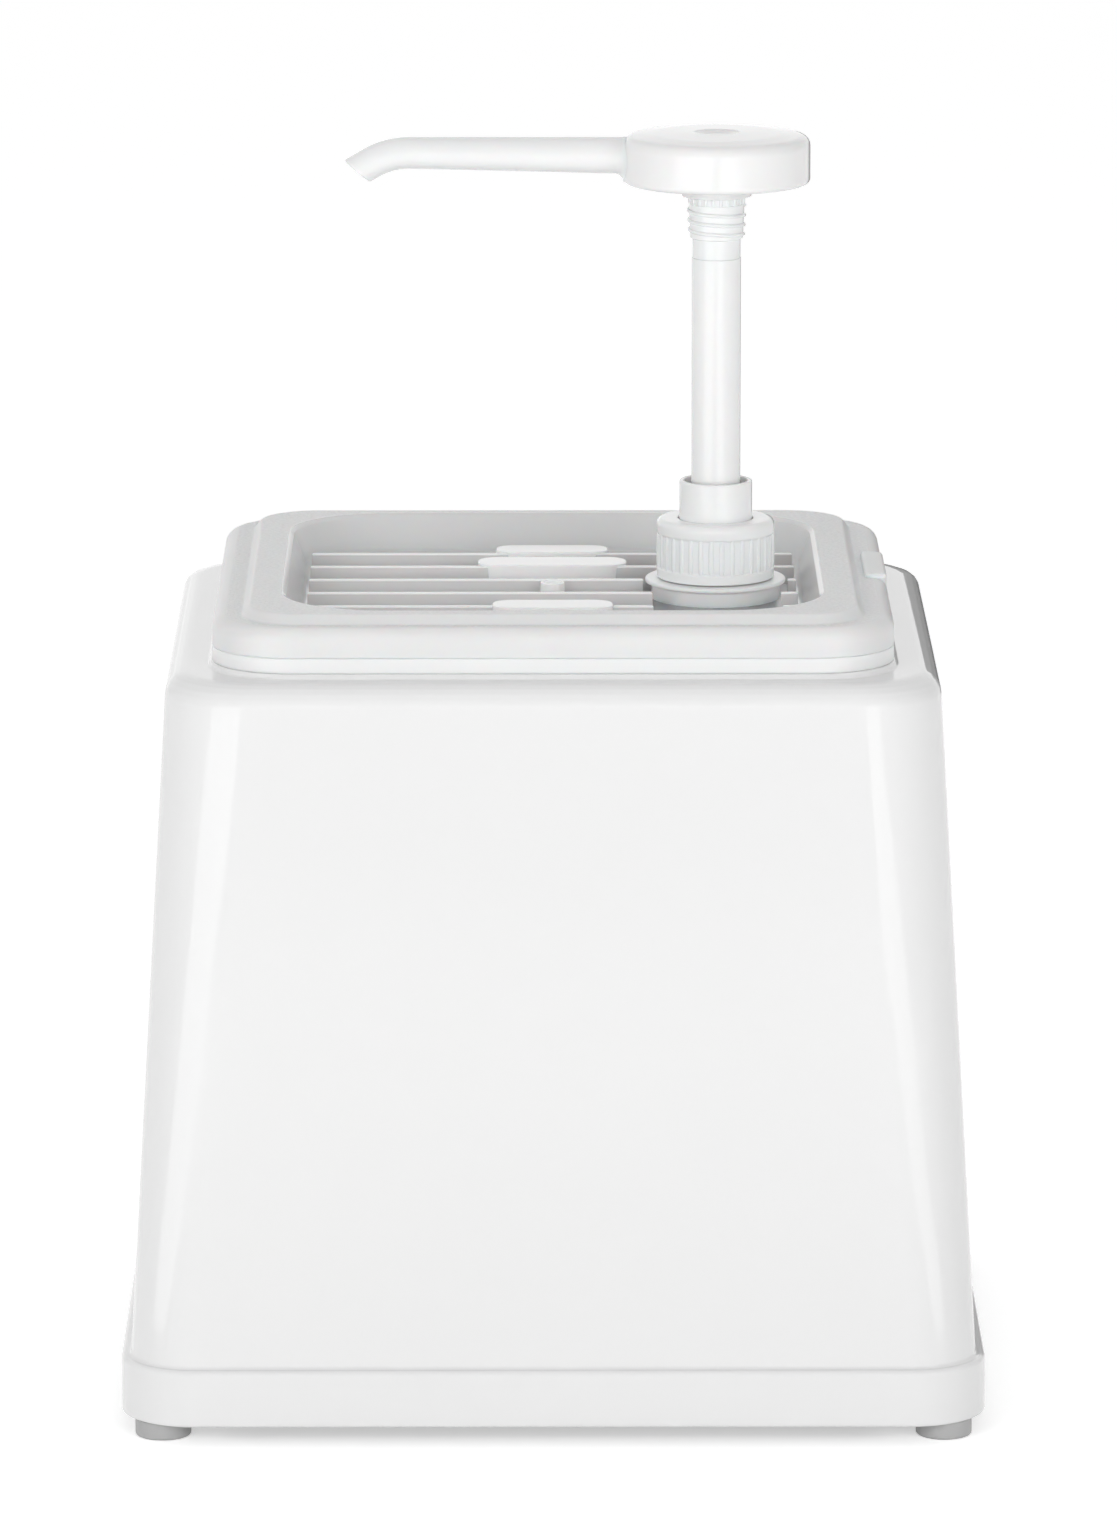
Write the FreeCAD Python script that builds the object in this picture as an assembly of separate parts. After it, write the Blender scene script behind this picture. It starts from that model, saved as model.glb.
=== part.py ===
import FreeCAD
import Part
import math
import os

# Countertop pump dispenser. A tapered moulded housing stands on four rubber feet and holds a catering
# container by its rim. A lid closes the container and carries a hand pump on a threaded neck.
# Millimetres, +Z up. The origin is on the floor below the middle of the housing, and the front faces -Y.

V = FreeCAD.Vector
UP = V(0, 0, 1)
TINY = 1e-4
REACH = 1.0  # how far a cutting tool runs past the face that it cuts

# Fits between pieces, measured on the radius or on one side
FIT = 0.1  # running fits and push fits
EASE = 0.3  # free clearance between pieces that come apart

# Rubber feet
FOOT_H = 4.5
FOOT_D = 14.5
FOOT_EDGE = 0.8
FOOT_INSET = 11.0  # from the faces of the skirt to the foot's axis
FOOT_STEM_D = 6.0
FOOT_BARB = 1.2  # how far the barb stands out from the stem
FOOT_BARB_H = 2.5

# Housing
SKIRT_W = 224.0
SKIRT_D = 208.0
SKIRT_H = 15.0
SKIRT_R = 19.5
SKIRT_STEP = 2.5  # ledge between the skirt and the tapered wall
SKIRT_ROUND = 1.5
BASE_ROUND = 0.8
COVE = 0.9
RIM_Z = 198.0  # plane that carries the container
TOP_W = 199.0
TOP_D = 183.0
TOP_R = 20.0
RIM_FILLET = 6.0
WALL = 3.0
RIM_T = 3.2
LIP_T = 2.2  # turned-down edge round the container opening
LIP_H = 9.0
FOOT_PLATE_T = 3.5
FOOT_PLATE_R = 16.0

# Container: gastronorm one sixth
FLANGE_W = 176.0
FLANGE_D = 162.0
FLANGE_R = 21.0
FLANGE_T = 4.0
FLANGE_LIP = 2.4
FLANGE_ROUND = 1.4
FLANGE_REACH = 10.0  # flange beyond the body
PAN_DEPTH = 150.0
PAN_WALL = 2.4
PAN_TAPER = 5.0
PAN_R = 14.0
PAN_ROUND = 9.0
PAN_EASE = 2.0  # room round the body in the housing's opening

# Lid
LID_SKIRT_H = 5.2
LID_SKIRT_WALL = 3.0
LID_WALL = 2.2
LID_STEP = 5.0  # width of the flange outside the plateau
LID_ROUND = 2.0
LID_FOOT_ROUND = 0.8
LID_EASE = 1.0  # room inside the container's mouth
PLATEAU_H = 5.4
PLATEAU_R = 18.0
PLATEAU_DRAFT = 0.7
PLATEAU_ROUND = 1.6
RECESS_MARGIN_X = 13.5
RECESS_MARGIN_Y = 6.5
RECESS_R = 26.0
RECESS_DEPTH = 9.6
RECESS_LEAD = 0.8
RIB_COUNT = 5
RIB_PITCH = 18.8
RIB_H = 4.6
RIB_T = 2.2
RIB_DRAFT = 0.5
RIB_END_R = 0.73
RIB_GAP = 1.5  # left free at each end of a rib
PAD_RISE = 0.5  # pads above the ribs
PADS = ((30.0, 11.0, 2, 4.2), (39.6, 13.0, 1, 4.6), (31.5, 12.0, -2, 0.0))  # length, depth, rib, shift
GATE_D = 6.4
GATE_DISH_D = 4.4
GATE_DISH = 0.8
GATE_Y = -4.2
LOCATOR_LEN = 90.0
LOCATOR_DEPTH = 3.0
GRIP_Y = 18.0  # where the raised part of the right edge begins
GRIP_LEN = 39.0
GRIP_RISE = 0.7

# Neck fitting, its nut and gasket
PUMP_INSET = 45.0  # pump's axis from the lid's right edge
NECK_BOSS_D = 34.0
NECK_BOSS_H = 2.0
NECK_FLANGE_D = 37.5
NECK_FLANGE_T = 1.6
NECK_D = 27.4
NECK_H = 11.1
NECK_BORE = 23.1
NECK_TAIL_D = 29.0
NECK_TAIL_H = 14.5
GASKET_T = 1.5
GASKET_W = 5.0
NUT_H = 8.0
NUT_FLATS = 41.0

# Screw cap and collar
CAP_D = 31.1
CAP_WALL = 1.45
CAP_PLATE = 2.0
CAP_GAP = 1.9  # bare neck below the cap
CAP_ROUND = 1.6
CAP_FLUTES = 36
CAP_FLUTE_DEPTH = 0.4
CAP_FLUTE_W = 1.1
CAP_BAND = 2.9  # smooth bands above and below the flutes
COLLAR_D = 19.2
COLLAR_H = 10.1
COLLAR_BORE = 16.8
COLLAR_GUIDE_H = 6.6
COLLAR_FLANGE_T = 1.8
WASHER_T = 1.2

# Pump chamber, valves and dip tube
CHAMBER_BORE = 20.0
CHAMBER_WALL = 1.25
CHAMBER_FLANGE_T = 1.5
CHAMBER_L = 96.4
CONE_H = 6.0
BALL_D = 8.0
BALL_POCKET_D = 9.2
BALL_POCKET_H = 5.5
SEAT_D = 6.0
SEAT_H = 2.0
PORT_H = 2.5
SOCKET_WALL = 2.0
SOCKET_H = 12.0
DIP_D = 10.0
DIP_BORE = 7.6
DIP_GAP = 4.0  # dip tube above the container's floor
DIP_CUT = 5.0  # height of the slanted end
RETAINER_T = 2.4
RETAINER_HOLES = 6
RETAINER_HOLE_D = 3.0
RETAINER_RING = 11.0

# Return spring
WIRE = 1.2
SPRING_D = 15.6
SPRING_TURNS = 8
SPRING_SEAT = 0.1  # air at each end

# Plunger: piston, rod, stem and head
STEM_D = 12.9
STEM_BORE = 8.0
STEM_SHOW = 59.0  # bare stem between the collar and the head's sleeve
STEM_PLUG_D = 9.9
STEM_PLUG_H = 10.5
STEM_PORT_D = 4.6
PISTON_GAP = 2.9  # under the collar at rest
PISTON_H = 12.5
PISTON_SOCKET_H = 7.5
PISTON_WAIST = 1.2
PISTON_LIP = 2.2
ROD_PLUG_H = 20.0
ROD_BORE = 4.0
ROD_SEAT_D = 17.2
ROD_SEAT_T = 2.0
OUT_BALL_D = 6.0
SLEEVE_D = 12.5
SLEEVE_H = 5.3
SPIGOT_H = 10.9
SPIGOT_TOP_D = 15.0
SPIGOT_LOW_D = 13.9
RING_D = 18.3
RING_H = 1.0
RING_NECK_D = 14.6
RING_NECK_H = 2.7
HEAD_D = 47.8
HEAD_H = 12.0
HEAD_WALL = 2.2
HEAD_TOP_ROUND = 2.0
HEAD_LOW_ROUND = 1.2
HEAD_DOME = 1.3
HEAD_DISH_D = 11.5
HEAD_DISH = 0.9
HUB_D = 22.0
SPOUT_REACH = 96.0  # from the pump's axis to the middle of the outlet
SPOUT_ROOT_D = 9.6
SPOUT_TIP_D = 8.3
SPOUT_BORE = 5.0
SPOUT_DROP = 4.8  # spout's axis below the head's rim
SPOUT_FLARE = 2.0
SPOUT_BEND = 36.0
SPOUT_BEND_R = 15.0
SPOUT_MITRE = 46.0  # slope of the outlet's axis below the horizon

# Heights that follow from the sizes above
base_z = FOOT_H
shelf_z = base_z + SKIRT_H
pan_top = RIM_Z + FLANGE_T
pan_floor = pan_top - PAN_DEPTH + PAN_WALL
flange_z = pan_top + LID_SKIRT_H
plateau_z = flange_z + PLATEAU_H
floor_z = plateau_z - RECESS_DEPTH
neck_flange_z = floor_z + NECK_BOSS_H + NECK_FLANGE_T
neck_top = neck_flange_z + NECK_H
washer_top = neck_top + WASHER_T
chamber_top = washer_top + CHAMBER_FLANGE_T
collar_seat = chamber_top + COLLAR_FLANGE_T
cap_top = collar_seat + CAP_PLATE
cap_foot = neck_flange_z + CAP_GAP
collar_top = cap_top + COLLAR_H
seam_z = collar_top + STEM_SHOW
spigot_z = seam_z + SLEEVE_H
ring_z = spigot_z + SPIGOT_H + RING_NECK_H
head_z = ring_z + RING_H
head_rim = head_z + HEAD_H
spout_z = head_rim - SPOUT_DROP
chamber_floor = chamber_top - CHAMBER_L
piston_top = chamber_top - PISTON_GAP
piston_foot = piston_top - PISTON_H
rod_foot = piston_foot - ROD_SEAT_T
stem_foot = piston_top - PISTON_SOCKET_H

# Plan sizes that follow
pan_w = FLANGE_W - 2 * FLANGE_REACH
pan_d = FLANGE_D - 2 * FLANGE_REACH
mouth_w = pan_w - 2 * PAN_WALL
mouth_d = pan_d - 2 * PAN_WALL
plateau_w = FLANGE_W - 2 * LID_STEP
plateau_d = FLANGE_D - 2 * LID_STEP
cap_bore = CAP_D - 2 * CAP_WALL
clamp_d = cap_bore - 2 * EASE  # flanges held inside the cap
pump_x = FLANGE_W / 2 - PUMP_INSET


def outline(width, depth, radius, z):
    """Closed rectangle with round corners, centred on the origin at height z."""
    x = width / 2
    y = depth / 2
    k = radius * (1 - math.sqrt(0.5))
    edges = []
    corners = ((1, 1), (-1, 1), (-1, -1), (1, -1))
    ends = []
    for i, (sx, sy) in enumerate(corners):
        along_y = V(sx * x, sy * (y - radius), z)
        along_x = V(sx * (x - radius), sy * y, z)
        middle = V(sx * (x - k), sy * (y - k), z)
        first, last = (along_y, along_x) if i % 2 == 0 else (along_x, along_y)
        edges.append(Part.Arc(first, middle, last).toShape())
        ends.append((first, last))
    for i in range(4):
        edges.append(Part.makeLine(ends[i][1], ends[(i + 1) % 4][0]))
    return Part.Wire(Part.__sortEdges__(edges))


def taper(low, high):
    """Straight-sided solid between two (width, depth, radius, z) outlines."""
    return Part.makeLoft([outline(*low), outline(*high)], True, True)


def prism(width, depth, radius, z0, z1):
    return Part.Face(outline(width, depth, radius, z0)).extrude(V(0, 0, z1 - z0))


def rounded(solid, radius, z):
    """Round the edges of a solid that lie in the plane at height z."""
    edges = [e for e in solid.Edges if all(abs(p.Z - z) < TINY for p in e.Vertexes)]
    return solid.makeFillet(radius, edges)


def turned(steps, x=pump_x, y=0.0):
    """Solid turned about a vertical axis. A step is an (r, z) corner, or two of them for an arc."""
    edges = []
    start = here = V(steps[0][0], 0, steps[0][1])
    for step in steps[1:]:
        if isinstance(step[0], tuple):
            middle = V(step[0][0], 0, step[0][1])
            end = V(step[1][0], 0, step[1][1])
            edges.append(Part.Arc(here, middle, end).toShape())
        else:
            end = V(step[0], 0, step[1])
            edges.append(Part.makeLine(here, end))
        here = end
    edges.append(Part.makeLine(here, start))
    solid = Part.Face(Part.Wire(edges)).revolve(V(0, 0, 0), UP, 360)
    solid.translate(V(x, y, 0))
    return solid


def tube(outer_d, inner_d, z0, z1):
    return turned([(inner_d / 2, z0), (outer_d / 2, z0), (outer_d / 2, z1), (inner_d / 2, z1)])


def rod(diameter, z0, z1, x=pump_x, y=0.0):
    return Part.makeCylinder(diameter / 2, z1 - z0, V(x, y, z0))


def joined(first, others):
    return first.fuse(list(others)).removeSplitter()


def foot_places():
    """Name and axis of each foot."""
    x = SKIRT_W / 2 - FOOT_INSET
    y = SKIRT_D / 2 - FOOT_INSET
    for end, sy in (("front", -1), ("rear", 1)):
        for side, sx in (("left", -1), ("right", 1)):
            yield "foot_%s_%s" % (end, side), sx * x, sy * y


def wall_outline(z, inset):
    """Outline of the tapered wall at height z, set in from its outer face."""
    share = (z - shelf_z) / (RIM_Z - shelf_z)
    low = (SKIRT_W - 2 * SKIRT_STEP, SKIRT_D - 2 * SKIRT_STEP, SKIRT_R - SKIRT_STEP)
    high = (TOP_W, TOP_D, TOP_R)
    width, depth, radius = [a + (b - a) * share for a, b in zip(low, high)]
    return (width - 2 * inset, depth - 2 * inset, radius - inset, z)


def housing_shell():
    skirt = prism(SKIRT_W, SKIRT_D, SKIRT_R, base_z, shelf_z)
    skirt = rounded(skirt, SKIRT_ROUND, shelf_z)
    skirt = rounded(skirt, BASE_ROUND, base_z)
    wall = taper(wall_outline(base_z + BASE_ROUND, 0), wall_outline(RIM_Z, 0))
    wall = rounded(wall, RIM_FILLET, RIM_Z)
    cove = taper(wall_outline(shelf_z - TINY, -COVE), wall_outline(shelf_z + COVE, 0))
    shell = joined(skirt, [wall, cove])
    cavity = taper(wall_outline(base_z - REACH, WALL), wall_outline(RIM_Z - RIM_T, WALL))
    shell = shell.cut(cavity)
    # turned-down edge round the container opening
    hole = (pan_w + 2 * PAN_EASE, pan_d + 2 * PAN_EASE, PAN_R + PAN_EASE)
    edge = (hole[0] + 2 * LIP_T, hole[1] + 2 * LIP_T, hole[2] + LIP_T)
    lip = prism(*edge, RIM_Z - LIP_H, RIM_Z - RIM_T)
    # corner plates that carry the feet
    plates = prism(SKIRT_W - 2 * WALL, SKIRT_D - 2 * WALL, SKIRT_R - WALL, base_z, base_z + FOOT_PLATE_T)
    discs = [rod(2 * FOOT_PLATE_R, base_z, base_z + FOOT_PLATE_T, x, y) for _, x, y in foot_places()]
    plates = [plates.common(disc) for disc in discs]
    shell = joined(shell, [lip] + plates)
    shell = shell.cut(prism(*hole, RIM_Z - LIP_H - REACH, RIM_Z + REACH))
    stems = [rod(FOOT_STEM_D + 2 * FIT, base_z - REACH, base_z + FOOT_PLATE_T + REACH, x, y)
             for _, x, y in foot_places()]
    # room for the barbs in the corners of the wall
    barb_d = FOOT_STEM_D + 2 * FOOT_BARB + 2 * EASE
    plate_top = base_z + FOOT_PLATE_T
    pockets = [rod(barb_d, plate_top, plate_top + FOOT_BARB_H + 2 * EASE, x, y) for _, x, y in foot_places()]
    return shell.cut(stems + pockets)


def foot(x, y):
    """Foot with a stem pushed through the corner plate and held by its barb."""
    r = FOOT_D / 2
    stem = FOOT_STEM_D / 2
    barb_z = base_z + FOOT_PLATE_T + FIT
    steps = [(0, 0), (r - FOOT_EDGE, 0), (r, FOOT_EDGE), (r, base_z), (stem, base_z), (stem, barb_z),
             (stem + FOOT_BARB, barb_z), (stem - FOOT_BARB, barb_z + FOOT_BARB_H), (0, barb_z + FOOT_BARB_H)]
    return turned(steps, x, y)


def pan_outline(z, inset):
    """Outline of the container's body at height z, set in from its outer face."""
    inset = inset + PAN_TAPER * (pan_top - z) / PAN_DEPTH
    return (pan_w - 2 * inset, pan_d - 2 * inset, PAN_R, z)


def container():
    foot_z = pan_top - PAN_DEPTH
    body = rounded(taper(pan_outline(foot_z, 0), pan_outline(pan_top, 0)), PAN_ROUND, foot_z)
    flange = prism(FLANGE_W, FLANGE_D, FLANGE_R, RIM_Z, pan_top)
    flange = rounded(rounded(flange, FLANGE_ROUND, pan_top), FLANGE_ROUND, RIM_Z)
    groove = prism(FLANGE_W - 2 * FLANGE_LIP, FLANGE_D - 2 * FLANGE_LIP, FLANGE_R - FLANGE_LIP,
                   RIM_Z - REACH, pan_top - PAN_WALL)
    inside = taper(pan_outline(pan_floor, PAN_WALL), pan_outline(pan_top + REACH, PAN_WALL))
    inside = rounded(inside, PAN_ROUND - PAN_WALL, pan_floor)
    return joined(flange.cut(groove), [body]).cut(inside)


def recess_outline(z, grow=0.0):
    """Outline of the recess in the lid. Its slope lets the tub pass into the container's mouth."""
    top_w = plateau_w - 2 * RECESS_MARGIN_X
    top_d = plateau_d - 2 * RECESS_MARGIN_Y
    slope = (top_d / 2 + LID_WALL + LID_EASE - mouth_d / 2) / (plateau_z - pan_top)
    inset = slope * (plateau_z - z) - grow
    return (top_w - 2 * inset, top_d - 2 * inset, RECESS_R - inset, z)


def lid_ribs():
    """Long ribs on the recess floor, the bare pads on them and the round gate mark."""
    rib_top = floor_z + RIB_H
    length = recess_outline(floor_z)[0] - 2 * RIB_GAP
    grown = RIB_T + 2 * RIB_DRAFT
    pieces = []
    for i in range(RIB_COUNT):
        rib = taper((length, grown, RIB_END_R, floor_z - TINY),
                    (length - 2 * RIB_DRAFT, RIB_T, RIB_END_R, rib_top))
        rib.translate(V(0, (i - (RIB_COUNT - 1) / 2) * RIB_PITCH, 0))
        pieces.append(rib)
    for pad_l, pad_d, row, shift in PADS:
        pad = prism(pad_l, pad_d, pad_d / 2 - TINY, floor_z - TINY, rib_top + PAD_RISE)
        pad.translate(V(0, row * RIB_PITCH + shift, 0))
        pieces.append(pad)
    gate = rod(GATE_D, floor_z - TINY, rib_top, 0, GATE_Y)
    dish = rod(GATE_DISH_D, rib_top - GATE_DISH, rib_top + REACH, 0, GATE_Y)
    keep_out = rod(NECK_FLANGE_D + 2 * RIB_GAP, floor_z - REACH, rib_top + REACH)
    return pieces[0].fuse(pieces[1:] + [gate]).cut([dish, keep_out])


def lid():
    skirt = prism(FLANGE_W, FLANGE_D, FLANGE_R, pan_top, flange_z)
    skirt = rounded(rounded(skirt, LID_ROUND, flange_z), LID_FOOT_ROUND, pan_top)
    foot_w = plateau_w + 2 * PLATEAU_DRAFT
    foot_d = plateau_d + 2 * PLATEAU_DRAFT
    plateau = taper((foot_w, foot_d, PLATEAU_R, flange_z - TINY),
                    (plateau_w, plateau_d, PLATEAU_R, plateau_z))
    plateau = rounded(plateau, PLATEAU_ROUND, plateau_z)
    # raised grip on the right edge
    grip_foot = pan_top + LID_FOOT_ROUND
    grip = Part.makeBox(LID_STEP + GRIP_RISE, GRIP_LEN, flange_z + GRIP_RISE - grip_foot,
                        V(plateau_w / 2, GRIP_Y, grip_foot))
    outer_edges = [e for e in grip.Edges if all(p.X > plateau_w / 2 + TINY for p in e.Vertexes)]
    grip = grip.makeFillet(LID_ROUND, [e for e in outer_edges if e.BoundBox.ZMin > grip_foot + TINY])
    shell = joined(skirt, [plateau, grip])
    # hollow underside and the tub of the recess
    hollow = prism(FLANGE_W - 2 * LID_SKIRT_WALL, FLANGE_D - 2 * LID_SKIRT_WALL, FLANGE_R - LID_SKIRT_WALL,
                   pan_top - REACH, flange_z - LID_WALL)
    under = prism(plateau_w - 2 * LID_WALL, plateau_d - 2 * LID_WALL, PLATEAU_R - LID_WALL,
                  flange_z - LID_WALL - TINY, plateau_z - LID_WALL)
    shell = shell.cut([hollow, under])
    tub = taper(recess_outline(floor_z - LID_WALL, LID_WALL),
                recess_outline(plateau_z - LID_WALL / 2, LID_WALL))
    # walls that hang inside the ends of the container's mouth
    locator_x = mouth_w / 2 - LID_EASE - LID_WALL
    locator_h = plateau_z - LID_WALL / 2 - pan_top + LOCATOR_DEPTH
    locators = [Part.makeBox(LID_WALL, LOCATOR_LEN, locator_h,
                             V(x, -LOCATOR_LEN / 2, pan_top - LOCATOR_DEPTH))
                for x in (locator_x, -locator_x - LID_WALL)]
    shell = joined(shell, [tub] + locators)
    recess = taper(recess_outline(floor_z), recess_outline(plateau_z + REACH))
    lead = taper(recess_outline(plateau_z - RECESS_LEAD), recess_outline(plateau_z + TINY, RECESS_LEAD))
    shell = joined(shell.cut([recess, lead]), [lid_ribs()])
    return shell.cut(rod(NECK_TAIL_D + 2 * EASE, floor_z - LID_WALL - REACH, plateau_z))


def neck_fitting():
    bore = NECK_BORE / 2
    edge = NECK_FLANGE_D / 2
    low = floor_z + NECK_BOSS_H
    tail = NECK_TAIL_D / 2
    boss = NECK_BOSS_D / 2
    steps = [(bore, floor_z - NECK_TAIL_H), (tail, floor_z - NECK_TAIL_H), (tail, floor_z),
             (boss, floor_z), (boss, low), (edge - NECK_FLANGE_T / 2, low),
             ((edge, (low + neck_flange_z) / 2), (edge - NECK_FLANGE_T / 2, neck_flange_z)),
             (NECK_D / 2, neck_flange_z), (NECK_D / 2, neck_top), (bore, neck_top)]
    return turned(steps)


def neck_gasket():
    top = floor_z - LID_WALL
    inner = NECK_TAIL_D + 2 * EASE
    return tube(inner + 2 * GASKET_W, inner, top - GASKET_T, top)


def neck_nut():
    """Hexagon nut under the gasket."""
    top = floor_z - LID_WALL - GASKET_T
    corner = NUT_FLATS / math.sqrt(3)
    points = [V(pump_x + corner * math.cos(math.radians(60 * i)), corner * math.sin(math.radians(60 * i)),
                top - NUT_H) for i in range(6)]
    nut = Part.Face(Part.makePolygon(points + points[:1])).extrude(V(0, 0, NUT_H))
    return nut.cut(rod(NECK_TAIL_D + 2 * FIT, top - NUT_H - REACH, top + REACH))


def screw_cap():
    r = CAP_D / 2
    bore = cap_bore / 2
    hole = COLLAR_D / 2 + EASE
    bend = CAP_ROUND * (1 - math.sqrt(0.5))
    steps = [(bore, cap_foot), (r, cap_foot), (r, cap_top - CAP_ROUND),
             ((r - bend, cap_top - bend), (r - CAP_ROUND, cap_top)),
             (hole, cap_top), (hole, collar_seat), (bore, collar_seat)]
    cap = turned(steps)
    flutes = []
    for i in range(CAP_FLUTES):
        flute = Part.makeBox(2 * CAP_FLUTE_DEPTH, CAP_FLUTE_W, cap_top - cap_foot - 2 * CAP_BAND,
                             V(r - CAP_FLUTE_DEPTH, -CAP_FLUTE_W / 2, cap_foot + CAP_BAND))
        flute.rotate(V(0, 0, 0), UP, 360 * i / CAP_FLUTES)
        flute.translate(V(pump_x, 0, 0))
        flutes.append(flute)
    return cap.cut(flutes)


def pump_collar():
    guide = STEM_D / 2 + FIT
    step_z = chamber_top + COLLAR_GUIDE_H
    steps = [(guide, chamber_top), (clamp_d / 2, chamber_top), (clamp_d / 2, collar_seat),
             (COLLAR_D / 2, collar_seat), (COLLAR_D / 2, collar_top), (COLLAR_BORE / 2, collar_top),
             (COLLAR_BORE / 2, step_z), (guide, step_z)]
    return turned(steps)


def sealing_washer():
    return tube(NECK_D, CHAMBER_BORE + 2 * CHAMBER_WALL + 2 * EASE, neck_top, washer_top)


# Heights inside the pump chamber, from its floor down
pocket_top = chamber_floor - CONE_H
seat_top = pocket_top - BALL_POCKET_H
seat_low = seat_top - SEAT_H
socket_top = seat_low - PORT_H
socket_foot = socket_top - SOCKET_H


def pump_chamber():
    r = CHAMBER_BORE / 2
    outer = r + CHAMBER_WALL
    pocket = BALL_POCKET_D / 2
    socket = DIP_D / 2 + FIT
    tail = socket + SOCKET_WALL
    port = SEAT_D / 2
    flange = clamp_d / 2
    steps = [(r, chamber_top), (r, chamber_floor), (pocket, pocket_top), (pocket, seat_top),
             (port, seat_low), (port, socket_top), (socket, socket_top), (socket, socket_foot),
             (tail, socket_foot), (tail, pocket_top), (outer, chamber_floor - CHAMBER_WALL),
             (outer, washer_top), (flange, washer_top), (flange, chamber_top)]
    return turned(steps)


def ball_on_seat(diameter, wide_d, narrow_d, low, height):
    """Ball resting in a conical seat that narrows downwards."""
    grow = (wide_d - narrow_d) / 2 / height
    rise = (diameter / 2 * math.sqrt(1 + grow * grow) - narrow_d / 2) / grow
    return Part.makeSphere(diameter / 2, V(pump_x, 0, low + rise + FIT))


def inlet_ball():
    return ball_on_seat(BALL_D, BALL_POCKET_D, SEAT_D, seat_low, SEAT_H)


def ball_retainer():
    """Perforated disc over the inlet ball. The return spring stands on it."""
    disc = rod(CHAMBER_BORE - 2 * FIT, chamber_floor, chamber_floor + RETAINER_T)
    holes = []
    for i in range(RETAINER_HOLES):
        angle = 2 * math.pi * i / RETAINER_HOLES
        x = pump_x + RETAINER_RING / 2 * math.cos(angle)
        y = RETAINER_RING / 2 * math.sin(angle)
        holes.append(rod(RETAINER_HOLE_D, chamber_floor - REACH, chamber_floor + RETAINER_T + REACH, x, y))
    return disc.cut(holes)


def dip_tube():
    foot_z = pan_floor + DIP_GAP
    pipe = tube(DIP_D, DIP_BORE, foot_z, socket_top)
    slant = Part.makePolygon([V(-DIP_D, 0, 0), V(DIP_D, 0, 0), V(DIP_D, 0, 2 * DIP_CUT), V(-DIP_D, 0, 0)])
    wedge = Part.Face(slant).extrude(V(0, 2 * DIP_D, 0))
    wedge.translate(V(pump_x, -DIP_D, foot_z - DIP_CUT / 2))
    return pipe.cut(wedge)


def biarc(p0, t0, p1, t1):
    """Two arcs that join two points with the tangents given there."""
    across = p1 - p0
    both = t0 + t1
    bend = 2 * (1 - t0.dot(t1))
    lean = across.dot(both)
    d = (math.sqrt(lean * lean + bend * across.dot(across)) - lean) / bend
    joint = (p0 + p1 + (t0 - t1) * d) * 0.5
    edges = []
    for start, end, tangent, sign in ((p0, joint, t0, 1), (joint, p1, t1, -1)):
        chord = end - start
        along = V(chord).normalize()
        side = (tangent - along * tangent.dot(along)) * sign
        half = math.acos(max(-1.0, min(1.0, tangent.dot(along)))) / 2
        middle = start + chord * 0.5 + side.normalize() * (chord.Length / 2 * math.tan(half))
        edges.append(Part.Arc(start, middle, end).toShape())
    return edges


def return_spring():
    """Compression spring between the retainer and the rod's seat, in quarter turns."""
    radius = (SPRING_D - WIRE) / 2
    low = chamber_floor + RETAINER_T + SPRING_SEAT + WIRE / 2
    high = rod_foot - SPRING_SEAT - WIRE / 2
    quarters = 4 * SPRING_TURNS
    climb = (high - low) / (SPRING_TURNS * 2 * math.pi)

    def place(i):
        angle = i * math.pi / 2
        return V(radius * math.cos(angle), radius * math.sin(angle), low + climb * angle)

    def heading(i):
        angle = i * math.pi / 2
        return V(-radius * math.sin(angle), radius * math.cos(angle), climb).normalize()

    edges = []
    for i in range(quarters):
        edges += biarc(place(i), heading(i), place(i + 1), heading(i + 1))
    section = Part.Wire(Part.Circle(place(0), heading(0), WIRE / 2).toShape())
    spring = Part.Wire(edges).makePipeShell([section], True, False)
    spring.translate(V(pump_x, 0, 0))
    return spring


def piston_seal():
    """Seal with two lips on the chamber's bore, a waist between them and a socket for the stem."""
    lip = CHAMBER_BORE / 2 - FIT
    waist = lip - PISTON_WAIST
    rod_hole = STEM_BORE / 2
    socket = STEM_D / 2 + FIT
    low_lip = piston_foot + PISTON_LIP
    high_lip = piston_top - PISTON_LIP
    steps = [(rod_hole, piston_foot), (lip, piston_foot), (lip, low_lip), (waist, low_lip + PISTON_WAIST),
             (waist, high_lip - PISTON_WAIST), (lip, high_lip), (lip, piston_top), (socket, piston_top),
             (socket, stem_foot), (rod_hole, stem_foot)]
    return turned(steps)


def piston_rod():
    """Hollow rod pushed up into the stem. Its foot holds the seal and takes the spring."""
    r = STEM_BORE / 2 - FIT
    top = stem_foot + ROD_PLUG_H
    steps = [(ROD_BORE / 2, rod_foot), (ROD_SEAT_D / 2, rod_foot), (ROD_SEAT_D / 2, piston_foot),
             (r, piston_foot), (r, top), (ROD_BORE / 2, top)]
    return turned(steps)


plug_top = seam_z + STEM_PLUG_H
out_seat_h = (STEM_PLUG_D - STEM_PORT_D) / 4


def stem():
    bore = STEM_BORE / 2
    port = STEM_PORT_D / 2
    plug = STEM_PLUG_D / 2
    closed = seam_z - (bore - port)
    r = STEM_D / 2
    steps = [(bore, stem_foot), (r, stem_foot), (r, seam_z), (plug, seam_z), (plug, plug_top),
             (port + out_seat_h, plug_top), (port, plug_top - out_seat_h), (port, seam_z), (bore, closed)]
    return turned(steps)


def outlet_ball():
    wide = STEM_PORT_D + 2 * out_seat_h
    return ball_on_seat(OUT_BALL_D, wide, STEM_PORT_D, plug_top - out_seat_h, out_seat_h)


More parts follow.
